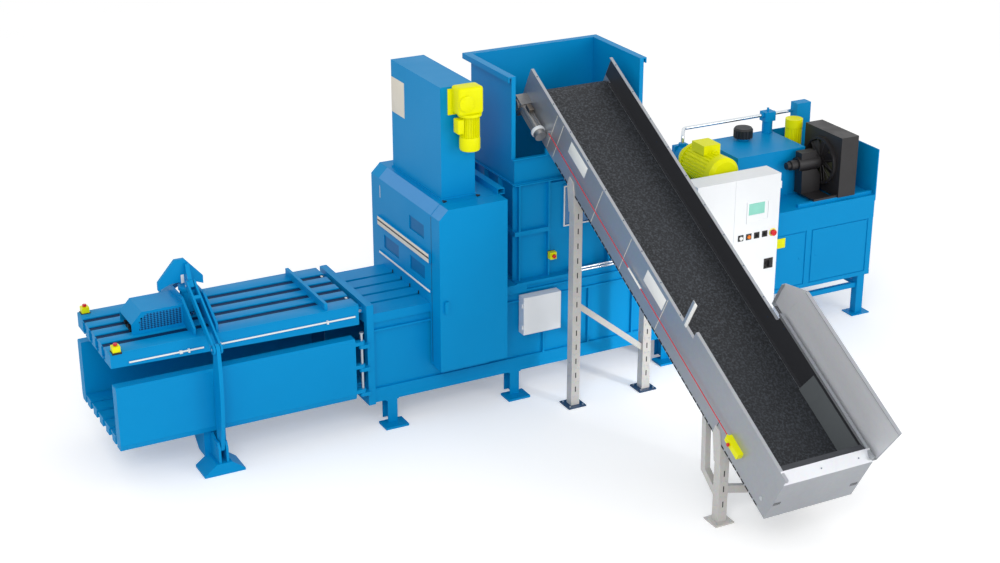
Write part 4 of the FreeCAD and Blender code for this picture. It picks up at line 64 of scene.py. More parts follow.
def addCamera():
    camera = bpy.data.cameras.new("photoCamera")
    camera.lens = photoCamera["lens"]
    camera.sensor_width = photoCamera["sensor"]
    camera.clip_end = photoCamera["far"]
    thing = bpy.data.objects.new("photoCamera", camera)
    thing.location = photoCamera["place"]
    thing.rotation_euler = [math.radians(angle) for angle in photoCamera["turn"]]
    bpy.context.scene.collection.objects.link(thing)
    bpy.context.scene.camera = thing


addCamera()
print("camera placed")


def soften(bm, rims, edge, segments=2):
    bmesh.ops.bevel(bm, geom=list(rims), offset=edge, affect="EDGES", segments=segments, profile=0.5,
                    material=-1)


def block(bm, low, high, edge=0.0, segments=2):
    cube = bmesh.ops.create_cube(bm, size=1)
    low, high = Vector(low), Vector(high)
    place = Matrix.Translation((low + high) / 2) @ Matrix.Diagonal((*(high - low), 1))
    bmesh.ops.transform(bm, matrix=place, verts=cube["verts"])
    if edge:
        soften(bm, {rim for corner in cube["verts"] for rim in corner.link_edges}, edge, segments)


def spanBlock(bm, span, edge=0.0, segments=2):
    left, right, front, back, low, high = span
    block(bm, (left, front, low), (right, back, high), edge, segments)


# Thin plates square to x and to y, from so far before a face to so far behind it.
def endPlate(bm, x, span, before, behind, edge=0.0):
    front, back, low, high = span
    block(bm, (x - before, front, low), (x + behind, back, high), edge)


def frontPlate(bm, y, span, before, behind, edge=0.0):
    left, right, low, high = span
    block(bm, (left, y - before, low), (right, y + behind, high), edge)


def square(x, z, half):
    return x - half, x + half, z - half, z + half


# The four walls of a rectangular rim, whose outside is given.
def rimSpans(left, right, low, high, wall):
    start, end = left + wall, right - wall
    return ((left, start, low, high), (end, right, low, high), (start, end, low, low + wall),
            (start, end, high - wall, high))


def anglesRound(count, shift=0.0):
    return [2 * math.pi * (index + shift) / count for index in range(count)]


def bar(bm, start, end, radius, sides=24, edge=0.0):
    start, end = Vector(start), Vector(end)
    along = end - start
    cone = bmesh.ops.create_cone(bm, cap_ends=True, segments=sides, radius1=radius, radius2=radius,
                                 depth=along.length)
    place = Matrix.Translation((start + end) / 2) @ along.to_track_quat("Z", "Y").to_matrix().to_4x4()
    bmesh.ops.transform(bm, matrix=place, verts=cone["verts"])
    if edge:
        rims = {rim for corner in cone["verts"] for rim in corner.link_edges
                if any(len(face.verts) == sides for face in rim.link_faces)}
        soften(bm, rims, edge)


def slab(bm, corners, depth):
    face = bm.faces.new([bm.verts.new(corner) for corner in corners])
    grown = bmesh.ops.extrude_face_region(bm, geom=[face])
    moved = [thing for thing in grown["geom"] if isinstance(thing, bmesh.types.BMVert)]
    bmesh.ops.translate(bm, vec=depth, verts=moved)


def ring(bm, centre, normal, radius, wire, steps=48, sides=8):
    place = Matrix.Translation(centre) @ Vector(normal).to_track_quat("Z", "Y").to_matrix().to_4x4()
    loop = bmesh.ops.create_circle(bm, segments=sides, radius=wire)["verts"]
    turn = place @ Matrix.Translation((radius, 0, 0)) @ Matrix.Rotation(math.pi / 2, 4, "X")
    bmesh.ops.transform(bm, matrix=turn, verts=loop)
    edges = list({edge for corner in loop for edge in corner.link_edges})
    bmesh.ops.spin(bm, geom=loop + edges, cent=centre, axis=Vector(normal).normalized(), angle=2 * math.pi,
                   steps=steps, use_merge=True)


weldGap = 0.00001
sharpAngle = math.radians(35)


def addPiece(name, bm, place, finish, body):
    bmesh.ops.transform(bm, matrix=place, verts=bm.verts)
    bmesh.ops.remove_doubles(bm, verts=bm.verts, dist=weldGap)
    bmesh.ops.recalc_face_normals(bm, faces=bm.faces)
    mesh = bpy.data.meshes.new(name)
    bm.to_mesh(mesh)
    bm.free()
    mesh.shade_smooth()
    mesh.set_sharp_from_angle(angle=sharpAngle)
    mesh.materials.append(finish)
    piece = bpy.data.objects.new(name, mesh)
    bpy.context.scene.collection.objects.link(piece)
    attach(piece, body)
    return piece


def linear(hexColour):
    parts = [int(hexColour[i:i + 2], 16) / 255 for i in (1, 3, 5)]
    return tuple(c / 12.92 if c <= 0.04045 else ((c + 0.055) / 1.055) ** 2.4 for c in parts) + (1.0,)


def addNode(tree, kind, settings=None, links=None):
    node = tree.nodes.new(kind)
    for name, value in (settings or {}).items():
        if isinstance(name, int) or name in node.inputs:
            node.inputs[name].default_value = value
        else:
            setattr(node, name, value)
    for name, source in (links or {}).items():
        tree.links.new(source, node.inputs[name])
    return node


def newMaterial(name):
    material = bpy.data.materials.new(name)
    material.use_nodes = True
    tree = material.node_tree
    tree.nodes.clear()
    place = addNode(tree, "ShaderNodeTexCoord").outputs["Object"]
    return material, tree, place


def setSurface(tree, settings, links):
    shader = addNode(tree, "ShaderNodeBsdfPrincipled", settings, links)
    addNode(tree, "ShaderNodeOutputMaterial", None, {"Surface": shader.outputs["BSDF"]})


def coatedFinish(name, look):
    material, tree, place = newMaterial(name)
    patches = addNode(tree, "ShaderNodeTexNoise",
                      {"Scale": 1000 / look["patchMm"], "Detail": 3, "Roughness": 0.6}, {"Vector": place})
    colour = addNode(tree, "ShaderNodeMix",
                     {"data_type": "RGBA", 6: linear(look["colour"]), 7: linear(look["patchTone"])},
                     {"Factor": patches.outputs["Fac"]})
    glossy, matt = look["rough"]
    gloss = addNode(tree, "ShaderNodeMapRange",
                    {"From Min": 0.3, "From Max": 0.7, "To Min": glossy, "To Max": matt},
                    {"Value": patches.outputs["Fac"]})
    grain = addNode(tree, "ShaderNodeTexNoise", {"Scale": 1000 / look["grainMm"], "Detail": 2},
                    {"Vector": place})
    bump = addNode(tree, "ShaderNodeBump", {"Strength": look["bump"], "Distance": 0.001},
                   {"Height": grain.outputs["Fac"]})
    setSurface(tree, {"Metallic": look.get("metallic", 0), "Specular IOR Level": look.get("shine", 0.5),
                      "Coat Weight": look.get("coat", 0), "Coat Roughness": 0.1},
               {"Base Color": colour.outputs[2], "Roughness": gloss.outputs["Result"],
                "Normal": bump.outputs["Normal"]})
    return material


# Powder coating: sprayed and baked, even colour with a fine orange-peel skin. The skin's 3 mm dimples are
# drawn 8 to 14 mm wide, because they would be too fine to show.
bluePowder = coatedFinish("bluePowderCoat", {
    "colour": "#0090ce", "patchTone": "#0089c6", "patchMm": 900, "grainMm": 14, "bump": 0.12,
    "rough": (0.36, 0.46), "shine": 0.1})
# A darker copy of the blue powder coat: painted shade, for recessed panes and for the dark gap beside the
# far hinge.
paintedShadeBlue = coatedFinish("bluePowderPaintedShade", {
    "colour": "#0070ac", "patchTone": "#006aa2", "patchMm": 400, "grainMm": 14, "bump": 0.12,
    "rough": (0.4, 0.5), "shine": 0.15})
# A lighter copy of the blue powder coat: painted highlight, for the chamfer plates along the tie tower's
# top edge.
bluePaintedHighlight = coatedFinish("bluePowderPaintedHighlight", {
    "colour": "#3f95d4", "patchTone": "#3a8ecd", "patchMm": 400, "grainMm": 14, "bump": 0.1,
    "rough": (0.34, 0.44), "shine": 0.3})
# Near-black blue: painted shadow, laid as thin sheets in the lid's slots.
slotShadowNavy = coatedFinish("paintedSlotShadow", {
    "colour": "#0a335c", "patchTone": "#082c52", "patchMm": 300, "grainMm": 14, "bump": 0.12,
    "rough": (0.45, 0.6), "shine": 0.1})
navyPlate = coatedFinish("navyBlueingSteel", {
    "colour": "#1f4468", "patchTone": "#17375a", "patchMm": 120, "grainMm": 9, "bump": 0.25,
    "rough": (0.32, 0.46)})
whitePowder = coatedFinish("whitePowderCoat", {
    "colour": "#eef0f2", "patchTone": "#e4e7ea", "patchMm": 500, "grainMm": 10, "bump": 0.1,
    "rough": (0.35, 0.45)})
blackPowder = coatedFinish("blackPowderCoat", {
    "colour": "#252325", "patchTone": "#1c1a1b", "patchMm": 200, "grainMm": 8, "bump": 0.2,
    "rough": (0.4, 0.55)})
# Machine enamel: sprayed over a casting, whose skin of about 2 mm grains is drawn 9 mm.
yellowEnamel = coatedFinish("yellowEnamel", {
    "colour": "#f0f200", "patchTone": "#e6e600", "patchMm": 120, "grainMm": 9, "bump": 0.25,
    "rough": (0.34, 0.46), "shine": 0.12, "coat": 0.05})
# Moulded plastics: dyed through, with a faint spark-eroded texture, under 1 mm in life and drawn 4 mm.
yellowPlastic = coatedFinish("yellowMouldedPlastic", {
    "colour": "#eef000", "patchTone": "#e6e700", "patchMm": 60, "grainMm": 4, "bump": 0.12,
    "rough": (0.32, 0.42), "shine": 0.25})
redPlastic = coatedFinish("redMouldedPlastic", {
    "colour": "#d8101c", "patchTone": "#c60c18", "patchMm": 40, "grainMm": 4, "bump": 0.06,
    "rough": (0.22, 0.32)})
blackPlastic = coatedFinish("blackMouldedPlastic", {
    "colour": "#1b1b1d", "patchTone": "#141416", "patchMm": 60, "grainMm": 4, "bump": 0.15,
    "rough": (0.42, 0.56)})
whitePlastic = coatedFinish("whiteMouldedPlastic", {
    "colour": "#f1f1ee", "patchTone": "#e9e9e4", "patchMm": 80, "grainMm": 4, "bump": 0.08,
    "rough": (0.32, 0.42)})
orangePlastic = coatedFinish("orangeMouldedPlastic", {
    "colour": "#f08018", "patchTone": "#e47210", "patchMm": 40, "grainMm": 4, "bump": 0.06,
    "rough": (0.25, 0.35)})
# Bare metals: zinc plated steel, castings with a sand skin of about 1 mm, drawn 5 mm, and chromed tube.
zincPlate = coatedFinish("zincPlatedSteel", {
    "colour": "#d4d8db", "patchTone": "#c2c7cb", "patchMm": 60, "grainMm": 6, "bump": 0.12, "rough": (0.26, 0.4),
    "metallic": 0.85})
castAluminium = coatedFinish("castAluminium", {
    "colour": "#a9a7a5", "patchTone": "#8f8d8c", "patchMm": 50, "grainMm": 5, "bump": 0.4, "rough": (0.35, 0.5),
    "metallic": 0.8})
bronzeCasting = coatedFinish("bronzeTintedCasting", {
    "colour": "#8a7f74", "patchTone": "#6f675f", "patchMm": 50, "grainMm": 5, "bump": 0.4, "rough": (0.3, 0.45),
    "metallic": 0.8})
polishedPipe = coatedFinish("chromedPipe", {
    "colour": "#e3e9ee", "patchTone": "#d7dee4", "patchMm": 90, "grainMm": 30, "bump": 0.03,
    "rough": (0.1, 0.18), "metallic": 1.0})
# Rubber, dark sheets, fins and foils: their grain of 1 to 2 mm is drawn from 3 to 40 mm wide.
rubberSkirt = coatedFinish("pressedRubber", {
    "colour": "#45474c", "patchTone": "#3b3d42", "patchMm": 150, "grainMm": 6, "bump": 0.3, "rough": (0.55, 0.7),
    "shine": 0.3})
# A dark grey for the trough's inner walls: the belt's dark reflection and the trough's shade, painted.
reflectionAndShadeLining = coatedFinish("paintedBeltReflectionAndShade", {
    "colour": "#3a3b3f", "patchTone": "#323337", "patchMm": 600, "grainMm": 40, "bump": 0.05,
    "rough": (0.3, 0.42), "shine": 0.35})
skirtSheet = coatedFinish("greySkirtSheet", {
    "colour": "#686d70", "patchTone": "#5c6164", "patchMm": 300, "grainMm": 30, "bump": 0.05,
    "rough": (0.35, 0.45), "shine": 0.35})
coolerCore = coatedFinish("oliveCoolerCore", {
    "colour": "#5b5d48", "patchTone": "#4a4c3c", "patchMm": 40, "grainMm": 6, "bump": 0.4, "rough": (0.45, 0.6),
    "shine": 0.3})
beigeFoil = coatedFinish("beigePrintedFoil", {
    "colour": "#e7e0d2", "patchTone": "#ddd6c6", "patchMm": 200, "grainMm": 12, "bump": 0.05,
    "rough": (0.3, 0.4)})
cordJacket = coatedFinish("redCordJacket", {
    "colour": "#e01a20", "patchTone": "#d2161c", "patchMm": 80, "grainMm": 3, "bump": 0.4, "rough": (0.38, 0.5),
    "coat": 0.2})
print("coated finishes made")


def sheetFinish(name, look):
    material, tree, place = newMaterial(name)
    # Hot-dip galvanised sheet: zinc crystals about 12 mm across, drawn 26 to 30 mm, over rolling lines.
    crystals = addNode(tree, "ShaderNodeTexVoronoi", {"Scale": 1000 / look["crystalMm"], "Randomness": 1.0},
                       {"Vector": place})
    clouds = addNode(tree, "ShaderNodeTexNoise", {"Scale": 1000 / look["cloudMm"], "Detail": 4},
                     {"Vector": place})
    shade = addNode(tree, "ShaderNodeMix",
                    {"data_type": "RGBA", 6: linear(look["colour"]), 7: linear(look["patchTone"])},
                    {"Factor": clouds.outputs["Fac"]})
    spark = addNode(tree, "ShaderNodeMix",
                    {"data_type": "RGBA", "blend_type": "MULTIPLY", 0: look["spangle"]},
                    {6: shade.outputs[2], 7: crystals.outputs["Color"]})
    stretched = addNode(tree, "ShaderNodeMapping", {"Scale": look["lines"]}, {"Vector": place})
    rolled = addNode(tree, "ShaderNodeTexNoise", {"Scale": 1000 / look["lineMm"], "Detail": 2},
                     {"Vector": stretched.outputs["Vector"]})
    glossy, matt = look["rough"]
    gloss = addNode(tree, "ShaderNodeMapRange",
                    {"From Min": 0.3, "From Max": 0.7, "To Min": glossy, "To Max": matt},
                    {"Value": clouds.outputs["Fac"]})
    bump = addNode(tree, "ShaderNodeBump", {"Strength": look["bump"], "Distance": 0.001},
                   {"Height": rolled.outputs["Fac"]})
    setSurface(tree, {"Metallic": look["metallic"]},
               {"Base Color": spark.outputs[2], "Roughness": gloss.outputs["Result"],
                "Normal": bump.outputs["Normal"]})
    return material


galvanised = sheetFinish("galvanisedSheet", {
    "colour": "#b3b6bb", "patchTone": "#a4a8ae", "crystalMm": 30, "cloudMm": 700, "spangle": 0.06,
    "lines": (1, 0.06, 0.06), "lineMm": 12, "rough": (0.3, 0.4), "bump": 0.05, "metallic": 0.55})
# A paler, less metallic copy of the galvanised sheet: painted light, for the wing and the end bar, which
# show brighter.
galvanisedLitCopy = sheetFinish("galvanisedPaintedLight", {
    "colour": "#d3d5da", "patchTone": "#c9cbd0", "crystalMm": 30, "cloudMm": 400, "spangle": 0.04,
    "lines": (1, 0.06, 0.06), "lineMm": 12, "rough": (0.34, 0.46), "bump": 0.05, "metallic": 0.1})
galvanisedLegs = sheetFinish("galvanisedSection", {
    "colour": "#d6d3cf", "patchTone": "#c8c6c2", "crystalMm": 26, "cloudMm": 300, "spangle": 0.08,
    "lines": (1, 1, 0.06), "lineMm": 10, "rough": (0.38, 0.5), "bump": 0.08, "metallic": 0.25})


def beltFinish(name, look):
    material, tree, place = newMaterial(name)
    # Rough-top conveyor rubber: pressed ridges of about 6 mm, drawn as 22 mm so that they show.
    bent = addNode(tree, "ShaderNodeTexNoise", {"Scale": 1000 / look["bendMm"], "Detail": 2},
                   {"Vector": place})
    shifted = addNode(tree, "ShaderNodeVectorMath", {"operation": "MULTIPLY_ADD", 1: (look["bend"],) * 3},
                      {0: bent.outputs["Color"], 2: place})
    lumps = addNode(tree, "ShaderNodeTexNoise",
                    {"Scale": 1000 / look["lumpMm"], "Detail": 4, "Roughness": 0.55},
                    {"Vector": shifted.outputs["Vector"]})
    tops = addNode(tree, "ShaderNodeMapRange", {"From Min": 0.46, "From Max": 0.66},
                   {"Value": lumps.outputs["Fac"]})
    # Broad lighter patches over the belt are a painted sheen.
    sheen = addNode(tree, "ShaderNodeTexNoise", {"Scale": 1000 / look["sheenMm"], "Detail": 3},
                   {"Vector": place})
    # The ridge tops are drawn in a lighter colour: a painted highlight where light catches the ridges.
    colour = addNode(tree, "ShaderNodeMix",
                     {"data_type": "RGBA", 6: linear(look["colour"]), 7: linear(look["tops"])},
                     {"Factor": tops.outputs["Result"]})
    sheenPatches = addNode(tree, "ShaderNodeMapRange", {"From Min": 0.35, "From Max": 0.7, "To Max": 0.35},
                    {"Value": sheen.outputs["Fac"]})
    patchTone = addNode(tree, "ShaderNodeMix", {"data_type": "RGBA", 7: linear(look["sheen"])},
                   {"Factor": sheenPatches.outputs["Result"], 6: colour.outputs[2]})
    glossy, matt = look["rough"]
    gloss = addNode(tree, "ShaderNodeMapRange", {"To Min": matt, "To Max": glossy},
                    {"Value": tops.outputs["Result"]})
    bump = addNode(tree, "ShaderNodeBump", {"Strength": look["bump"], "Distance": 0.01},
                   {"Height": lumps.outputs["Fac"]})
    setSurface(tree, {"Specular IOR Level": 0.42},
               {"Base Color": patchTone.outputs[2], "Roughness": gloss.outputs["Result"],
                "Normal": bump.outputs["Normal"]})
    return material


# The lighter ridge-top colour is a painted highlight, and the broad patches' colour a painted sheen.
beltRubber = beltFinish("roughTopRubber", {
    "colour": "#1c1e22", "tops": "#43484f", "sheen": "#2c3036", "lumpMm": 22, "bendMm": 60, "bend": 0.02,
    "sheenMm": 1200, "rough": (0.28, 0.6), "bump": 1.0})


def glassFinish(name, look):
    material, tree, place = newMaterial(name)
    # Wiped glass: clear gloss with faint smears, which show as slightly duller, paler patches.
    smears = addNode(tree, "ShaderNodeTexNoise", {"Scale": 1000 / look["smearMm"], "Detail": 3},
                     {"Vector": place})
    tint = addNode(tree, "ShaderNodeMix",
                   {"data_type": "RGBA", 6: linear(look["colour"]), 7: linear(look["patchTone"])},
                   {"Factor": smears.outputs["Fac"]})
    gloss = addNode(tree, "ShaderNodeMapRange", {"To Min": 0.04, "To Max": 0.14},
                    {"Value": smears.outputs["Fac"]})
    setSurface(tree, {"IOR": 1.5, "Coat Weight": 0.6, "Coat Roughness": 0.05},
               {"Base Color": tint.outputs[2], "Roughness": gloss.outputs["Result"]})
    return material


def wireMeshFinish(name, look):
    material, tree, place = newMaterial(name)
    # Expanded metal painted with the cover: diamonds of 12 mm pitch, drawn 20 mm so that they show.
    flat = addNode(tree, "ShaderNodeVectorMath", {"operation": "MULTIPLY", 1: (0.6, 0, 1)}, {0: place})
    turned = addNode(tree, "ShaderNodeMapping",
                     {"Rotation": (0, math.radians(45), 0), "Location": (0, 0.003, 0)},
                     {"Vector": flat.outputs["Vector"]})
    # The dark cells paint the shade seen through the mesh's holes.
    cells = addNode(tree, "ShaderNodeTexChecker",
                    {"Scale": 1000 / look["cellMm"], "Color1": linear(look["colour"]),
                     "Color2": linear(look["holes"])}, {"Vector": turned.outputs["Vector"]})
    gloss = addNode(tree, "ShaderNodeMapRange", {"To Min": 0.7, "To Max": 0.4},
                    {"Value": cells.outputs["Fac"]})
    bump = addNode(tree, "ShaderNodeBump", {"Strength": 0.5, "Distance": 0.002},
                   {"Height": cells.outputs["Fac"]})
    setSurface(tree, {"Specular IOR Level": 0.2},
               {"Base Color": cells.outputs["Color"], "Roughness": gloss.outputs["Result"],
                "Normal": bump.outputs["Normal"]})
    return material


coverMesh = wireMeshFinish("expandedMetalMesh", {"colour": "#0d84c4", "holes": "#07406c", "cellMm": 14})
windowGlass = glassFinish("wipedWindowGlass", {"colour": "#0d66a4", "patchTone": "#2b83bb", "smearMm": 160})
screenGlass = glassFinish("litScreenGlass", {"colour": "#8fd6c4", "patchTone": "#7fcbb9", "smearMm": 120})
print("all finishes made")

finishOfNode = {
    "conveyor_frame": galvanised, "conveyor_legs": galvanisedLegs, "belt": beltRubber,
    "head_drum": zincPlate, "tail_drum": zincPlate, "conveyor_gearmotor": castAluminium,
    "tie_gearmotor": yellowEnamel, "pump_motors": yellowEnamel,
    "lid_stop_boxes": yellowPlastic, "chute_stop_box": yellowPlastic,
    "pull_switch": yellowPlastic, "lid_button_front": redPlastic, "lid_button_back": redPlastic,
    "chute_button": redPlastic, "pull_knob": redPlastic, "cabinet_stop_button": redPlastic,
    "filler_cap": blackPlastic, "mode_selector": blackPlastic, "speed_selector": blackPlastic,
    "main_switch": blackPlastic, "start_button": whitePlastic, "reset_button": orangePlastic,
    "cooler": blackPowder, "cooler_fan": blackPowder, "ram_cylinder": blackPowder,
    "junction_box": whitePowder, "junction_door": whitePowder, "cabinet": whitePowder,
    "cabinet_door": whitePowder, "lid_pipe": whitePlastic, "pipes": polishedPipe, "pull_cord": cordJacket,
    "hinge_pins": zincPlate, "clamp_rod": polishedPipe, "needle_shaft": zincPlate,
}
for name, part in nodes.items():
    part.data.materials.clear()
    part.data.materials.append(finishOfNode.get(name, bluePowder))
print("CAD nodes dressed")


cordRun = {"x": 4774, "square": -283, "low": -4616, "high": -670, "radius": 4.5, "sag": 4,
           "grip": (-2815, -2545), "gripRadius": 10}


def addCord():
    size = cordRun
    line = bpy.data.curves.new("stopCord", "CURVE")
    line.dimensions = "3D"
    line.bevel_depth = size["radius"] / 1000
    line.bevel_resolution = 3
    line.use_fill_caps = True
    middle = (size["low"] + size["high"]) / 2
    route = [beltFrame @ Vector((size["x"], s, size["square"] - drop))
             for s, drop in ((size["low"], 0), (middle, size["sag"]), (size["high"], 0))]
    spline = line.splines.new("NURBS")
    spline.points.add(len(route) - 1)
    for point, place in zip(spline.points, route):
        point.co = (*place, 1)
    spline.order_u = 3
    spline.use_endpoint_u = True
    line.materials.append(cordJacket)
    cord = bpy.data.objects.new("stopCord", line)
    bpy.context.scene.collection.objects.link(cord)
    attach(cord, "frame")
    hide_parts("pull_cord")
    bm = bmesh.new()
    start, end = size["grip"]
    level = size["square"] - size["sag"] / 2
    bar(bm, (size["x"], start, level), (size["x"], end, level), size["gripRadius"], sides=16, edge=2)
    sleeve = addPiece("stopCordSleeve", bm, beltFrame, whitePlastic, "frame")


addCord()
print("stop cord made")

stopBoxes = {"lid": (70, 536, 1405), "lidHalf": 49, "lidBase": 20, "chute": (4858, 1555), "chuteHalf": 43.5,
             "chuteFace": -550, "chutePlate": 6}


def addStopBoxBases():
    size = stopBoxes
    x, y, z = size["lid"]
    half = size["lidHalf"]
    bm = bmesh.new()
    for middle in (-y, y):
        block(bm, (x - half, middle - half, z), (x + half, middle + half, z + size["lidBase"]), edge=4)
    addPiece("lidStopBases", bm, pressFrame, blackPlastic, "lid")
    bm = bmesh.new()
    frontPlate(bm, size["chuteFace"], square(*size["chute"], size["chuteHalf"]), before=size["chutePlate"],
               behind=0, edge=2)
    addPiece("chuteStopBase", bm, pressFrame, blackPlastic, "frame")


clampTrim = {"mesh": ((412, 1446), (412, 1536), (484, 1612), (842, 1612), (842, 1446)),
             "meshFront": -221.6, "meshBack": -219.5,
             "hoseRows": ((-118, 1428, 17), (-62, 1440, 20), (-4, 1426, 15), (52, 1446, 18)),
             "hoses": (352, 436), "nuts": (334, 360), "nutShare": 1.35,
             "barrel": (988, 1698, 1752), "barrelRadius": 92, "tag": (925, 958, 1778, 1868),
             "tagFace": -19.6, "headPins": (135, 1790, 0), "armPins": (825, 1371, 3), "bars": (936, 1040),
             "boltRadius": 13, "boltHead": 6, "pipeClip": (684, 716, -603, -575, 1288, 1318)}


def addPinBolts(name, side, pins, body):
    size = clampTrim
    y, z, inset = pins
    left, right = size["bars"]
    bm = bmesh.new()
    for x, way in ((left + inset, -1), (right - inset, 1)):
        bar(bm, (x, side * y, z), (x + way * size["boltHead"], side * y, z), size["boltRadius"], sides=6)
    addPiece(name, bm, pressFrame, zincPlate, body)


def addClampTrim():
    size = clampTrim
    bm = bmesh.new()
    front, back = size["meshFront"], size["meshBack"]
    slab(bm, [(x, front, z) for x, z in size["mesh"]], (0, back - front, 0))
    addPiece("coverMesh", bm, pressFrame, coverMesh, "lid")
    bm = bmesh.new()
    for y, z, radius in size["hoseRows"]:
        (start, end), (nutStart, nutEnd) = size["hoses"], size["nuts"]
        bar(bm, (start, y, z), (end, y, z), radius, sides=14, edge=3)
        bar(bm, (nutStart, y, z), (nutEnd, y, z), radius * size["nutShare"], sides=6)
    addPiece("hoseEnds", bm, pressFrame, blackPlastic, "lid")
    bm = bmesh.new()
    x, low, high = size["barrel"]
    bar(bm, (x, 0, low), (x, 0, high), size["barrelRadius"], sides=40, edge=8)
    addPiece("barrelHead", bm, pressFrame, bluePowder, "crosshead")
    bm = bmesh.new()
    frontPlate(bm, size["tagFace"], size["tag"], before=0, behind=2, edge=0.5)
    addPiece("crossheadTag", bm, pressFrame, whitePlastic, "crosshead")
    for side, label in ((-1, "front"), (1, "back")):
        addPinBolts("headPinBolts_" + label, side, size["headPins"], "crosshead")
        addPinBolts("armPinBolts_" + label, side, size["armPins"], "clamp_arm_" + label)
    bm = bmesh.new()
    spanBlock(bm, size["pipeClip"], edge=2)
    addPiece("lidPipeClip", bm, pressFrame, whitePlastic, "lid")


lidSlots = {"pitch": 219, "start": 4, "end": 2596, "top": 1406, "sheet": 1.4, "gap": 0.3, "capHalf": 63,
            "edge": 575, "caps": (0, 2600, 1404.5, 1419), "clips": (2556, 2576, 1416), "clipHalf": 15,
            "shadeSheet": (2514, 2662, 560, 565, 520, 1190)}


def addLidSlots():
    size = lidSlots
    pitch, top = size["pitch"], size["top"]
    bm, half = bmesh.new(), pitch / 2 - size["capHalf"]
    # Places are in pitches from the centre line: five bars with four slots between them. Dark sheets a
    # little below the bar caps fill the slots with painted shadow, standing for deeper, wider channels.
    for place in (-1.5, -0.5, 0.5, 1.5):
        y = place * pitch
        block(bm, (size["start"], y - half + size["gap"], top - size["sheet"]),
              (size["end"], y + half - size["gap"], top))
    addPiece("lidSlotShadowSheets", bm, pressFrame, slotShadowNavy, "lid")
    bm = bmesh.new()
    left, right, low, high = size["caps"]
    for place in (-2, -1, 0, 1, 2):
        front = place * pitch - size["capHalf"] if place > -2 else -size["edge"]
        back = place * pitch + size["capHalf"] if place < 2 else size["edge"]
        block(bm, (left, front, low), (right, back, high), edge=2)
    addPiece("lidBarCaps", bm, pressFrame, bluePowder, "lid")
    bm = bmesh.new()
    left, right, high = size["clips"]
    for place in (-1.5, 1.5):
        y = place * pitch
        block(bm, (left, y - size["clipHalf"], top), (right, y + size["clipHalf"], high), edge=2)
    addPiece("lidSlotClips", bm, pressFrame, whitePlastic, "lid")
    # A thin sheet closes the gap beside the far hinge, in the darker blue: painted shade of the dark space
    # behind it.
    bm = bmesh.new()
    spanBlock(bm, size["shadeSheet"], edge=1)
    addPiece("farHingeShadeSheet", bm, pressFrame, paintedShadeBlue, "frame")


tieTrim = {"face": 3395, "top": 2387, "bandFace": 3365, "band": (-643, 643, 1762, 1857),
           "line": (-648, 636, 1808, 1826), "stripFace": 3377, "strip": (-643, 643, 1428, 1452),
           "mark": (618, 628, 2070, 2205), "paneFace": 3407, "paneHigh": 150, "paneGap": 1,
           "panes": ((-478, -119, 1967), (-486, -123, 1516), (163, 544, 1516)),
           "seam": (-655, -647, 640, 2270), "hooks": (329, 110, -110, -329), "hookHalf": 5,
           "hookRise": (1300, 1334), "grommets": ((3548, -604), (3936, -595)),
           "grommet": ((0, -34), (44, -18), (12, 22)), "grommetRise": (0.2, 14),
           "bevel": 104, "bevelProud": 0.5, "bevelGap": 1.5, "bevelSheet": 0.9,
           "bevels": (("bevelPlate", -645, 645, "frame"), ("doorBevelPlate", -846, -656, "tie_door"))}


def addTieTrim():
    size = tieTrim
    face, top = size["face"], size["top"]
    bm = bmesh.new()
    endPlate(bm, size["bandFace"], size["band"], before=1.6, behind=1, edge=0.6)
    endPlate(bm, face, size["mark"], before=1.5, behind=0.5)
    addPiece("tieBand", bm, pressFrame, beigeFoil, "frame")
    bm = bmesh.new()
    endPlate(bm, size["bandFace"], size["line"], before=2.6, behind=-1)
    addPiece("tieBandLine", bm, pressFrame, blackPlastic, "frame")
    bm = bmesh.new()
    endPlate(bm, size["stripFace"], size["strip"], before=1.6, behind=1, edge=0.6)
    addPiece("tieStrip", bm, pressFrame, whitePlastic, "frame")
    # The recessed panes are drawn in the darker blue: painted shade in the recesses.
    bm, gap = bmesh.new(), size["paneGap"]
    for low, high, base in size["panes"]:
        endPlate(bm, size["paneFace"], (low + gap, high - gap, base + gap, base + size["paneHigh"] - gap),
                 before=1.5, behind=0.5)
    addPiece("tiePanes", bm, pressFrame, paintedShadeBlue, "frame")
    bm, half = bmesh.new(), size["hookHalf"]
    endPlate(bm, face, size["seam"], before=1, behind=1)
    for y in size["hooks"]:
        endPlate(bm, face, (y - half, y + half, *size["hookRise"]), before=9, behind=0.5)
    clear, high = size["grommetRise"]
    for x, y in size["grommets"]:
        slab(bm, [(x + along, y + across, top + clear) for along, across in size["grommet"]], (0, 0, high))
    addPiece("tieSeals", bm, pressFrame, blackPlastic, "frame")
    # The chamfer plates are drawn in the lighter blue: a painted highlight along the top edge.
    near, far = face - size["bevelProud"], face + size["bevel"] - size["bevelGap"]
    under, over = top - size["bevel"] + size["bevelGap"], top + size["bevelProud"]
    for name, low, high, body in size["bevels"]:
        bm = bmesh.new()
        slab(bm, [(near, low, under), (near, high, under), (far, high, over), (far, low, over)],
             (size["bevelSheet"], 0, -size["bevelSheet"]))
        addPiece(name, bm, pressFrame, bluePaintedHighlight, body)


deckRail = {"tube": (4152, 4232, 2387.5, 2450), "wall": 6, "half": 672}


def addDeckRail():
    size = deckRail
    bm = bmesh.new()
    for left, right, low, high in rimSpans(*size["tube"], size["wall"]):
        block(bm, (left, -size["half"], low), (right, size["half"], high))
    addPiece("deckRail", bm, pressFrame, bluePowder, "frame")


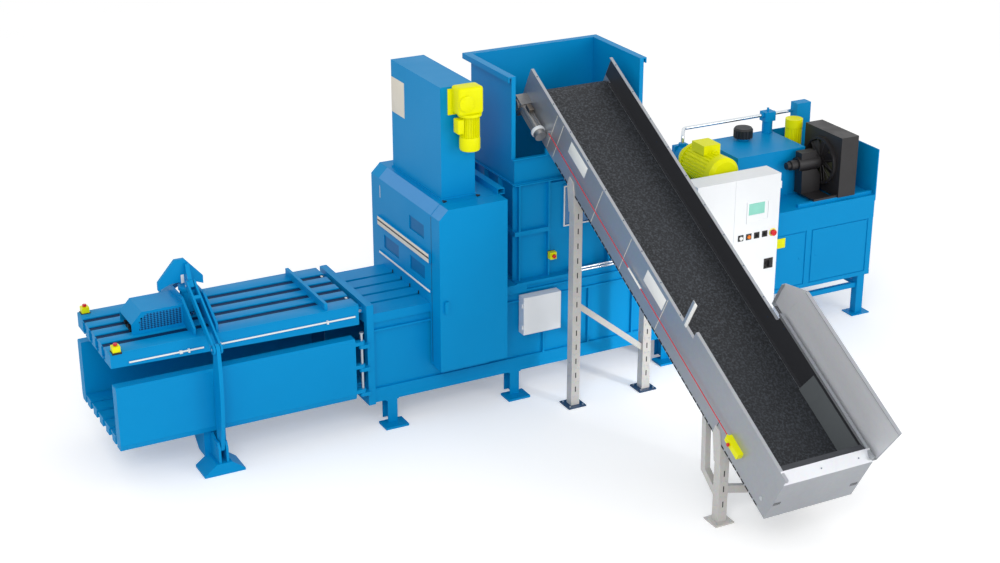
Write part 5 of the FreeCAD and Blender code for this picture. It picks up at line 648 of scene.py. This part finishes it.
tieMotor = {"gear": (3684, 3962, -744, -553, 3312, 3600), "gearRound": 30,
            "flange": (3650, 3968, -553, -539.5, 3282, 3556), "disc": (3765, 3440, 84),
            "discReach": (2, -24), "bolts": 6, "boltInset": 16, "boltRadius": 9, "boltReach": (3, -6),
            "x": 3846, "y": -648, "bell": (124, 3284, 3314), "cowl": (108, 2916, 3070), "cowlRound": 26,
            "fins": (3062, 3286, 84, 104), "finCount": 28, "finSheet": 5, "finRoot": 3,
            "box": (3690, 3762, -704, -592, 3112, 3262)}


def addTieMotor():
    size = tieMotor
    x, y = size["x"], size["y"]
    bm = bmesh.new()
    spanBlock(bm, size["gear"], edge=size["gearRound"], segments=4)
    spanBlock(bm, size["flange"], edge=4)
    discX, discZ, radius = size["disc"]
    back, front = (size["gear"][2] + reach for reach in size["discReach"])
    bar(bm, (discX, back, discZ), (discX, front, discZ), radius, sides=48, edge=5)
    for angle in anglesRound(size["bolts"]):
        middle = Vector((math.cos(angle), 0, math.sin(angle))) * (radius - size["boltInset"])
        start, end = (Vector((discX, front + reach, discZ)) + middle for reach in size["boltReach"])
        bar(bm, start, end, size["boltRadius"], sides=6)
    radius, low, high = size["bell"]
    bar(bm, (x, y, low), (x, y, high), radius, sides=48, edge=6)
    low, high, inner, outer = size["fins"]
    bar(bm, (x, y, low), (x, y, high), inner, sides=48)
    for angle in anglesRound(size["finCount"]):
        out = Vector((math.cos(angle), math.sin(angle), 0))
        side = Vector((-out.y, out.x, 0)) * size["finSheet"] / 2
        foot = Vector((x, y, low)) + out * (inner - size["finRoot"])
        tip = Vector((x, y, low)) + out * outer
        slab(bm, [foot - side, tip - side, tip + side, foot + side], (0, 0, high - low))
    radius, low, high = size["cowl"]
    bar(bm, (x, y, low), (x, y, high), radius, sides=48, edge=size["cowlRound"])
    spanBlock(bm, size["box"], edge=9, segments=3)
    motor = addPiece("tieMotorCasting", bm, pressFrame, yellowEnamel, "frame")
    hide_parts("tie_gearmotor")


towerPlate = {"face": 3573, "span": (332, 652, 3012, 3396)}


def addTowerPlate():
    bm = bmesh.new()
    endPlate(bm, towerPlate["face"], towerPlate["span"], before=3, behind=1, edge=1)
    addPiece("towerPlate", bm, pressFrame, beigeFoil, "frame")


conveyorTrim = {"seams": (-680, -826, -1750, -2398, -3190), "seamHalf": 3.5, "seamRise": (-478, -20),
                "plates": ((-1412, -1030, -190, -45), (-3168, -2775, -205, -50)),
                "dashes": (-900, -5240, -80), "dashLong": 62, "dashRise": (-503, -484),
                "endSeam": (-4443, -4437, -478, -300), "endFace": -5428,
                "louvres": ((4812, -296), (5690, -330)), "louvreCount": 6, "louvrePitch": 14,
                "louvre": (6, 44), "boltStart": -120, "boltPitch": 410, "boltInset": 17, "boltRadius": 6,
                "boltHead": 4, "screws": (5228, 5645), "screwStart": (-5373, 70), "screwEnd": (-5377, 76),
                "wallScrews": (-1157, -2357, -3557), "wallScrewInsets": (6, 11), "wallScrewLevel": -121}


def addConveyorTrim():
    size = conveyorTrim
    left, right = conveyor["left"], conveyor["right"]
    bm, half = bmesh.new(), size["seamHalf"]
    for s in size["seams"]:
        endPlate(bm, left, (s - half, s + half, *size["seamRise"]), before=1.5, behind=0.5)
    addPiece("conveyorSeamStrips", bm, beltFrame, beigeFoil, "frame")
    bm = bmesh.new()
    for span in size["plates"]:
        endPlate(bm, left, span, before=2, behind=0.5, edge=0.6)
    addPiece("conveyorBarePlates", bm, beltFrame, whitePlastic, "frame")
    # Black plates in the side slots and in the end louvres paint the shade inside these openings; the end
    # seam is a dark joint.
    bm = bmesh.new()
    for s in range(*size["dashes"]):
        span = (s - size["dashLong"], s, *size["dashRise"])
        endPlate(bm, left, span, before=1.5, behind=0.5)
        endPlate(bm, right, span, before=0.5, behind=1.5)
    endPlate(bm, left, size["endSeam"], before=1.2, behind=0.5)
    wide, high = size["louvre"]
    for first, t in size["louvres"]:
        for index in range(size["louvreCount"]):
            x = first + index * size["louvrePitch"]
            frontPlate(bm, size["endFace"], (x, x + wide, t, t + high), before=1.2, behind=0.5)
    addPiece("conveyorSlots", bm, beltFrame, blackPlastic, "frame")
    bm, radius = bmesh.new(), size["boltRadius"]
    for index in range(int(conveyor["sideRun"] / size["boltPitch"]) + 1):
        s = size["boltStart"] - index * size["boltPitch"]
        for x in (left + size["boltInset"], right - size["boltInset"]):
            bar(bm, (x, s, 0), (x, s, size["boltHead"]), radius, sides=8)
    for x in size["screws"]:
        bar(bm, (x, *size["screwStart"]), (x, *size["screwEnd"]), radius, sides=8)
    for s in size["wallScrews"]:
        start, end = ((right - inset, s, size["wallScrewLevel"]) for inset in size["wallScrewInsets"])
        bar(bm, start, end, radius, sides=8)
    addPiece("conveyorBolts", bm, beltFrame, navyPlate, "frame")


lining = {"left": 4806, "right": 5784, "sheet": 3, "low": -250, "stripWide": 37, "start": -6, "run": 5412,
          "strip": (-5285, -135, -252, -249), "upper": -7, "trough": 60, "skirtStart": (-4350, -4380),
          "skirtEnd": -5310, "skirtRise": (-247, -8), "skirtReach": 52, "skirtSheet": (3, 0, 1),
          "lipTail": (-5322, 92), "lipHead": (-5245, 62), "lipGap": 4, "lipSheet": 5}


def addLining():
    size = lining
    side = conveyor["sideRun"]
    # Dark sheets on both inner walls, and a strip at their foot, paint the belt's reflection and the
    # trough's shade.
    bm = bmesh.new()
    tail, head, under, over = size["strip"]
    for x, inward in ((size["left"], 1), (size["right"], -1)):
        low, high = sorted((x, x + inward * size["sheet"]))
        block(bm, (low, -side, size["low"]), (high, size["start"], size["upper"]))
        block(bm, (low, -size["run"], size["low"]), (high, -side, size["trough"]))
        low, high = sorted((x, x + inward * size["stripWide"]))
        block(bm, (low, tail, under), (high, head, over))
    addPiece("reflectionAndShadeLining", bm, beltFrame, reflectionAndShadeLining, "frame")
    bm = bmesh.new()
    wall = size["right"] - size["sheet"] - 1
    foot, end = wall - size["skirtReach"], size["skirtEnd"]
    (footStart, topStart), (low, high) = size["skirtStart"], size["skirtRise"]
    slab(bm, [(foot, footStart, low), (foot, end, low), (wall, end, high), (wall, topStart, high)],
         size["skirtSheet"])
    addPiece("troughSkirt", bm, beltFrame, skirtSheet, "frame")
    bm = bmesh.new()
    left, right = size["left"] + size["lipGap"], size["right"] - size["lipGap"]
    slab(bm, [(left, *size["lipTail"]), (right, *size["lipTail"]), (right, *size["lipHead"]),
              (left, *size["lipHead"])], (0, 0, size["lipSheet"]))
    addPiece("troughLip", bm, beltFrame, rubberSkirt, "frame")


driveTrim = {"x": 4730, "square": -372.3, "cowl": (-521, -563, 76), "cowlRound": 12,
             "box": (4700, 4762, -330, -238, -306, -262), "head": -135, "bolts": 5, "boltCircle": 50,
             "boltRadius": 8, "boltReach": (4655, 4645)}


def addDriveTrim():
    size = driveTrim
    x, t = size["x"], size["square"]
    bm = bmesh.new()
    start, end, radius = size["cowl"]
    bar(bm, (x, start, t), (x, end, t), radius, sides=40, edge=size["cowlRound"])
    addPiece("driveCowl", bm, beltFrame, whitePowder, "frame")
    bm = bmesh.new()
    spanBlock(bm, size["box"], edge=6, segments=3)
    start, end = size["boltReach"]
    for angle in anglesRound(size["bolts"]):
        s = size["head"] + math.cos(angle) * size["boltCircle"]
        up = t + math.sin(angle) * size["boltCircle"]
        bar(bm, (start, s, up), (end, s, up), size["boltRadius"], sides=6)
    addPiece("driveBox", bm, beltFrame, bronzeCasting, "frame")


wingTrim = {"face": 5830, "flap": ((-3520, 326), (-3804, 540), (-3694, 117)), "flapSheet": (2.5, 2.8),
            "sheet": ((-3518, 44), (-3518, 320), (-3806, 541), (-5484, 541), (-5416, 44)),
            "wingSheet": (1.2, 1.5), "endBar": ((-5427, 35), (-5319, 102.5)),
            "endBarSheet": (0, -0.6, 0.9), "grooves": (5796, 5812), "grooveWide": 9,
            "grooveRun": (-5380, -3560), "grooveRise": (39.5, 41.5),
            "upright": (4798, 4813, -3548, -3514, -4, 318)}


def addWingTrim():
    size = wingTrim
    # The wing, its flap and the end bar are drawn in the paler galvanised copy: painted light.
    bm = bmesh.new()
    proud, thick = size["flapSheet"]
    slab(bm, [(size["face"] - proud, s, t) for s, t in size["flap"]], (thick, 0, 0))
    addPiece("wingFlap", bm, beltFrame, galvanisedLitCopy, "frame")
    bm = bmesh.new()
    proud, thick = size["wingSheet"]
    slab(bm, [(size["face"] - proud, s, t) for s, t in size["sheet"]], (thick, 0, 0))
    outer, inner = size["endBar"]
    left, right = conveyor["left"], conveyor["right"]
    slab(bm, [(left, *outer), (right, *outer), (right, *inner), (left, *inner)], size["endBarSheet"])
    addPiece("wingSheet", bm, beltFrame, galvanisedLitCopy, "frame")
    # Black strips in the wing's grooves paint the shade inside them.
    bm = bmesh.new()
    for x in size["grooves"]:
        spanBlock(bm, (x, x + size["grooveWide"], *size["grooveRun"], *size["grooveRise"]))
    addPiece("wingGrooves", bm, beltFrame, blackPlastic, "frame")
    bm = bmesh.new()
    spanBlock(bm, size["upright"], edge=1)
    addPiece("sideUpright", bm, beltFrame, whitePlastic, "frame")


legTrim = {"lefts": (4800, 5690), "box": 100, "feet": (-1090, -3903), "foot": 210, "plate": 14,
           "footGap": 1, "footProud": 1.5, "tops": (2380, 760), "boltStart": 120, "boltClear": 150,
           "boltPitch": 165, "boltRadius": 8, "boltHead": 4, "boltsAcross": (28, 72), "sideBoltRise": 60,
           "slotAcross": (44, 56), "slotRise": 50, "slotLong": 62, "anchors": (-78, 78),
           "anchorRadius": 11, "anchorHigh": 12}


def addLegFeet():
    size = legTrim
    reach = size["foot"] / 2 + size["footGap"]
    hole = size["box"] / 2 + size["footGap"]
    for y, finish, label in zip(size["feet"], (navyPlate, galvanisedLegs), ("tall", "short")):
        bm = bmesh.new()
        for x in size["lefts"]:
            middle = x + size["box"] / 2
            for front, back, left, right in rimSpans(y - reach, y + reach, middle - reach, middle + reach,
                                                     reach - hole):
                block(bm, (left, front, 0), (right, back, size["plate"] + size["footProud"]))
        addPiece("legFeet_" + label, bm, pressFrame, finish, "frame")


def addLegBolts():
    size = legTrim
    head, radius = size["boltHead"], size["boltRadius"]
    low, high = size["plate"], size["plate"] + size["anchorHigh"]
    left, right = size["slotAcross"]
    bolts, slots = bmesh.new(), bmesh.new()
    for x in size["lefts"]:
        for y, top in zip(size["feet"], size["tops"]):
            front = y - size["box"] / 2
            for z in range(size["boltStart"], top - size["boltClear"], size["boltPitch"]):
                for across in size["boltsAcross"]:
                    bar(bolts, (x + across, front, z), (x + across, front - head, z), radius, sides=6)
                level = z + size["sideBoltRise"]
                bar(bolts, (x, y, level), (x - head, y, level), radius, sides=6)
                # Black plates in the legs' slots paint the shade inside them.
                base = z + size["slotRise"]
                span = (x + left, x + right, base, base + size["slotLong"])
                frontPlate(slots, front, span, before=1, behind=0.5)
            for across in size["anchors"]:
                for along in size["anchors"]:
                    spot = (x + size["box"] / 2 + across, y + along)
                    bar(bolts, (*spot, low), (*spot, high), size["anchorRadius"], sides=6)
    addPiece("legBolts", bolts, pressFrame, zincPlate, "frame")
    addPiece("legSlots", slots, pressFrame, blackPlastic, "frame")


cabinetTrim = {"screenFace": -897, "screen": (7172, 7384, 1708, 1842), "face": -889.3,
               "controls": (7085, 108, 5), "level": 1450, "backingHalf": 37, "backingSheet": 3.5,
               "switch": (7482, 1082, 62), "stopCollar": (41.2, 5.8, 0.6)}


def addCabinetTrim():
    size = cabinetTrim
    face = size["face"]
    bm = bmesh.new()
    frontPlate(bm, size["screenFace"], size["screen"], before=2, behind=1, edge=1)
    addPiece("cabinetScreen", bm, pressFrame, screenGlass, "cabinet_door")
    start, pitch, count = size["controls"]
    *backed, stop = (start + index * pitch for index in range(count))
    places = [(x, size["level"], size["backingHalf"]) for x in backed] + [size["switch"]]
    bm = bmesh.new()
    for place in places:
        frontPlate(bm, face, square(*place), before=size["backingSheet"], behind=1, edge=2)
    addPiece("controlBackings", bm, pressFrame, blackPlastic, "cabinet_door")
    bm = bmesh.new()
    radius, wire, flat = size["stopCollar"]
    ring(bm, (stop, face, size["level"]), (0, 1, 0), radius, wire, steps=40, sides=12)
    bmesh.ops.scale(bm, vec=(1, flat, 1), space=Matrix.Translation((0, -face, 0)), verts=bm.verts)
    addPiece("stopDisc", bm, pressFrame, yellowPlastic, "cabinet_door")


chuteWindow = {"pane": (5035, 5330, 1850, 2280), "rim": 14, "face": -530.3, "glass": -514}


def addChuteWindow():
    size = chuteWindow
    left, right, low, high = size["pane"]
    bm, rim = bmesh.new(), size["rim"]
    for span in rimSpans(left - rim, right + rim, low - rim, high + rim, rim):
        frontPlate(bm, size["face"], span, before=4, behind=2)
    addPiece("windowRim", bm, pressFrame, whitePlastic, "chute_door")
    bm = bmesh.new()
    frontPlate(bm, size["glass"], size["pane"], before=3, behind=0)
    addPiece("windowPane", bm, pressFrame, windowGlass, "chute_door")


powerTrim = {"plate": (7840, 7955, 1068, 1186), "plateFace": -554, "eye": (7130, -250, 2262),
             "eyeRing": (24, 8), "fan": (8672, -170, 1901), "shroud": 262, "struts": 12, "hub": 70,
             "wire": 5, "rimWire": 8, "coreIn": 64, "coreDeep": 30, "coreRadius": 254}


def addPowerTrim():
    size = powerTrim
    bm = bmesh.new()
    frontPlate(bm, size["plateFace"], size["plate"], before=1.5, behind=0.5, edge=0.5)
    addPiece("doorBarePlate", bm, pressFrame, yellowPlastic, "tank_door_left")
    bm = bmesh.new()
    ring(bm, size["eye"], (0, 1, 0), *size["eyeRing"], steps=24)
    addPiece("motorEyebolt", bm, pressFrame, yellowEnamel, "frame")
    bm = bmesh.new()
    middle = Vector(size["fan"])
    ring(bm, middle, (1, 0, 0), size["shroud"], size["rimWire"])
    for angle in anglesRound(size["struts"], shift=0.5):
        out = Vector((0, math.cos(angle), math.sin(angle)))
        bar(bm, middle + out * size["hub"], middle + out * size["shroud"], size["wire"], sides=6)
    addPiece("fanGuard", bm, pressFrame, blackPowder, "frame")
    bm = bmesh.new()
    front = middle + Vector((size["coreIn"], 0, 0))
    bar(bm, front, front + Vector((size["coreDeep"], 0, 0)), size["coreRadius"], sides=64, edge=2)
    addPiece("coolerCore", bm, pressFrame, coolerCore, "frame")


addStopBoxBases()
addClampTrim()
addLidSlots()
addTieTrim()
addDeckRail()
addTieMotor()
addTowerPlate()
print("press trim made")
addConveyorTrim()
addLining()
addDriveTrim()
addWingTrim()
addLegFeet()
addLegBolts()
print("conveyor trim made")
addCabinetTrim()
addChuteWindow()
addPowerTrim()
print("cabinet and power unit trim made")

# Places in metres from the part's own origin, sizes in metres, powers in watts, angles in degrees.
areaLamps = {"keyLamp": {"place": (-9.0, -11.0, 11.0), "size": 8.0, "power": 780},
             "fillLamp": {"place": (9.0, -13.0, 6.0), "size": 9.0, "power": 600}}
areaAim = (0, 0, 1.2)
cabinetSpot = {"place": (5.5, -9.0, 4.5), "aim": (2.5, -1.05, 1.3), "power": 3200, "angle": 17,
               "blend": 1.0, "radius": 0.8}
skyStrength = 0.76


def placeLamp(name, lamp, place, aim):
    thing = bpy.data.objects.new(name, lamp)
    thing.location = place
    thing.rotation_euler = (Vector(aim) - Vector(place)).to_track_quat("-Z", "Y").to_euler()
    bpy.context.scene.collection.objects.link(thing)


def addLamps():
    for name, size in areaLamps.items():
        lamp = bpy.data.lights.new(name, "AREA")
        lamp.shape = "DISK"
        lamp.size = size["size"]
        lamp.energy = size["power"]
        placeLamp(name, lamp, size["place"], areaAim)
    size = cabinetSpot
    lamp = bpy.data.lights.new("cabinetSpot", "SPOT")
    lamp.energy = size["power"]
    lamp.spot_size = math.radians(size["angle"])
    lamp.spot_blend = size["blend"]
    lamp.shadow_soft_size = size["radius"]
    placeLamp("cabinetSpot", lamp, size["place"], size["aim"])


def addSky():
    world = bpy.data.worlds.new("studioSky")
    world.use_nodes = True
    tree = world.node_tree
    tree.nodes.clear()
    # The sky lights the part at skyStrength, and is plain white to the camera, in reflections and glass.
    path = addNode(tree, "ShaderNodeLightPath")
    seen = addNode(tree, "ShaderNodeMath", {"operation": "ADD", "use_clamp": True},
                   {0: path.outputs["Is Camera Ray"], 1: path.outputs["Is Glossy Ray"]})
    seen = addNode(tree, "ShaderNodeMath", {"operation": "ADD", "use_clamp": True},
                   {0: seen.outputs[0], 1: path.outputs["Is Transmission Ray"]})
    strength = addNode(tree, "ShaderNodeMapRange", {"To Min": skyStrength, "To Max": 1.0},
                       {"Value": seen.outputs[0]})
    sky = addNode(tree, "ShaderNodeBackground", {"Color": linear("#ffffff")},
                  {"Strength": strength.outputs["Result"]})
    addNode(tree, "ShaderNodeOutputWorld", None, {"Surface": sky.outputs["Background"]})
    bpy.context.scene.world = world
    bpy.context.scene.view_settings.view_transform = "Standard"


studioFloor = {"half": 90, "colour": "#f4f4f4", "patchTone": "#f8f8f8", "cloudScale": 0.6, "lift": 0.28}


def addFloor():
    size = studioFloor
    material, tree, place = newMaterial("paleStudioFloor")
    clouds = addNode(tree, "ShaderNodeTexNoise", {"Scale": size["cloudScale"], "Detail": 2},
                     {"Vector": place})
    colour = addNode(tree, "ShaderNodeMix",
                     {"data_type": "RGBA", 6: linear(size["colour"]), 7: linear(size["patchTone"])},
                     {"Factor": clouds.outputs["Fac"]})
    paint = addNode(tree, "ShaderNodeBsdfDiffuse", None, {"Color": colour.outputs[2]})
    # A little glow, for the camera alone, keeps the shadows as pale as in the photograph.
    path = addNode(tree, "ShaderNodeLightPath")
    lift = addNode(tree, "ShaderNodeMapRange", {"To Min": 0.0, "To Max": size["lift"]},
                   {"Value": path.outputs["Is Camera Ray"]})
    glow = addNode(tree, "ShaderNodeEmission", {"Color": linear("#ffffff")},
                   {"Strength": lift.outputs["Result"]})
    both = addNode(tree, "ShaderNodeAddShader", None, {0: paint.outputs[0], 1: glow.outputs[0]})
    addNode(tree, "ShaderNodeOutputMaterial", None, {"Surface": both.outputs[0]})
    bm = bmesh.new()
    bmesh.ops.create_grid(bm, x_segments=1, y_segments=1, size=size["half"])
    mesh = bpy.data.meshes.new("studioFloor")
    bm.to_mesh(mesh)
    bm.free()
    mesh.materials.append(material)
    floor = bpy.data.objects.new("studioFloor", mesh)
    bpy.context.scene.collection.objects.link(floor)


addLamps()
addSky()
addFloor()
print("studio made")
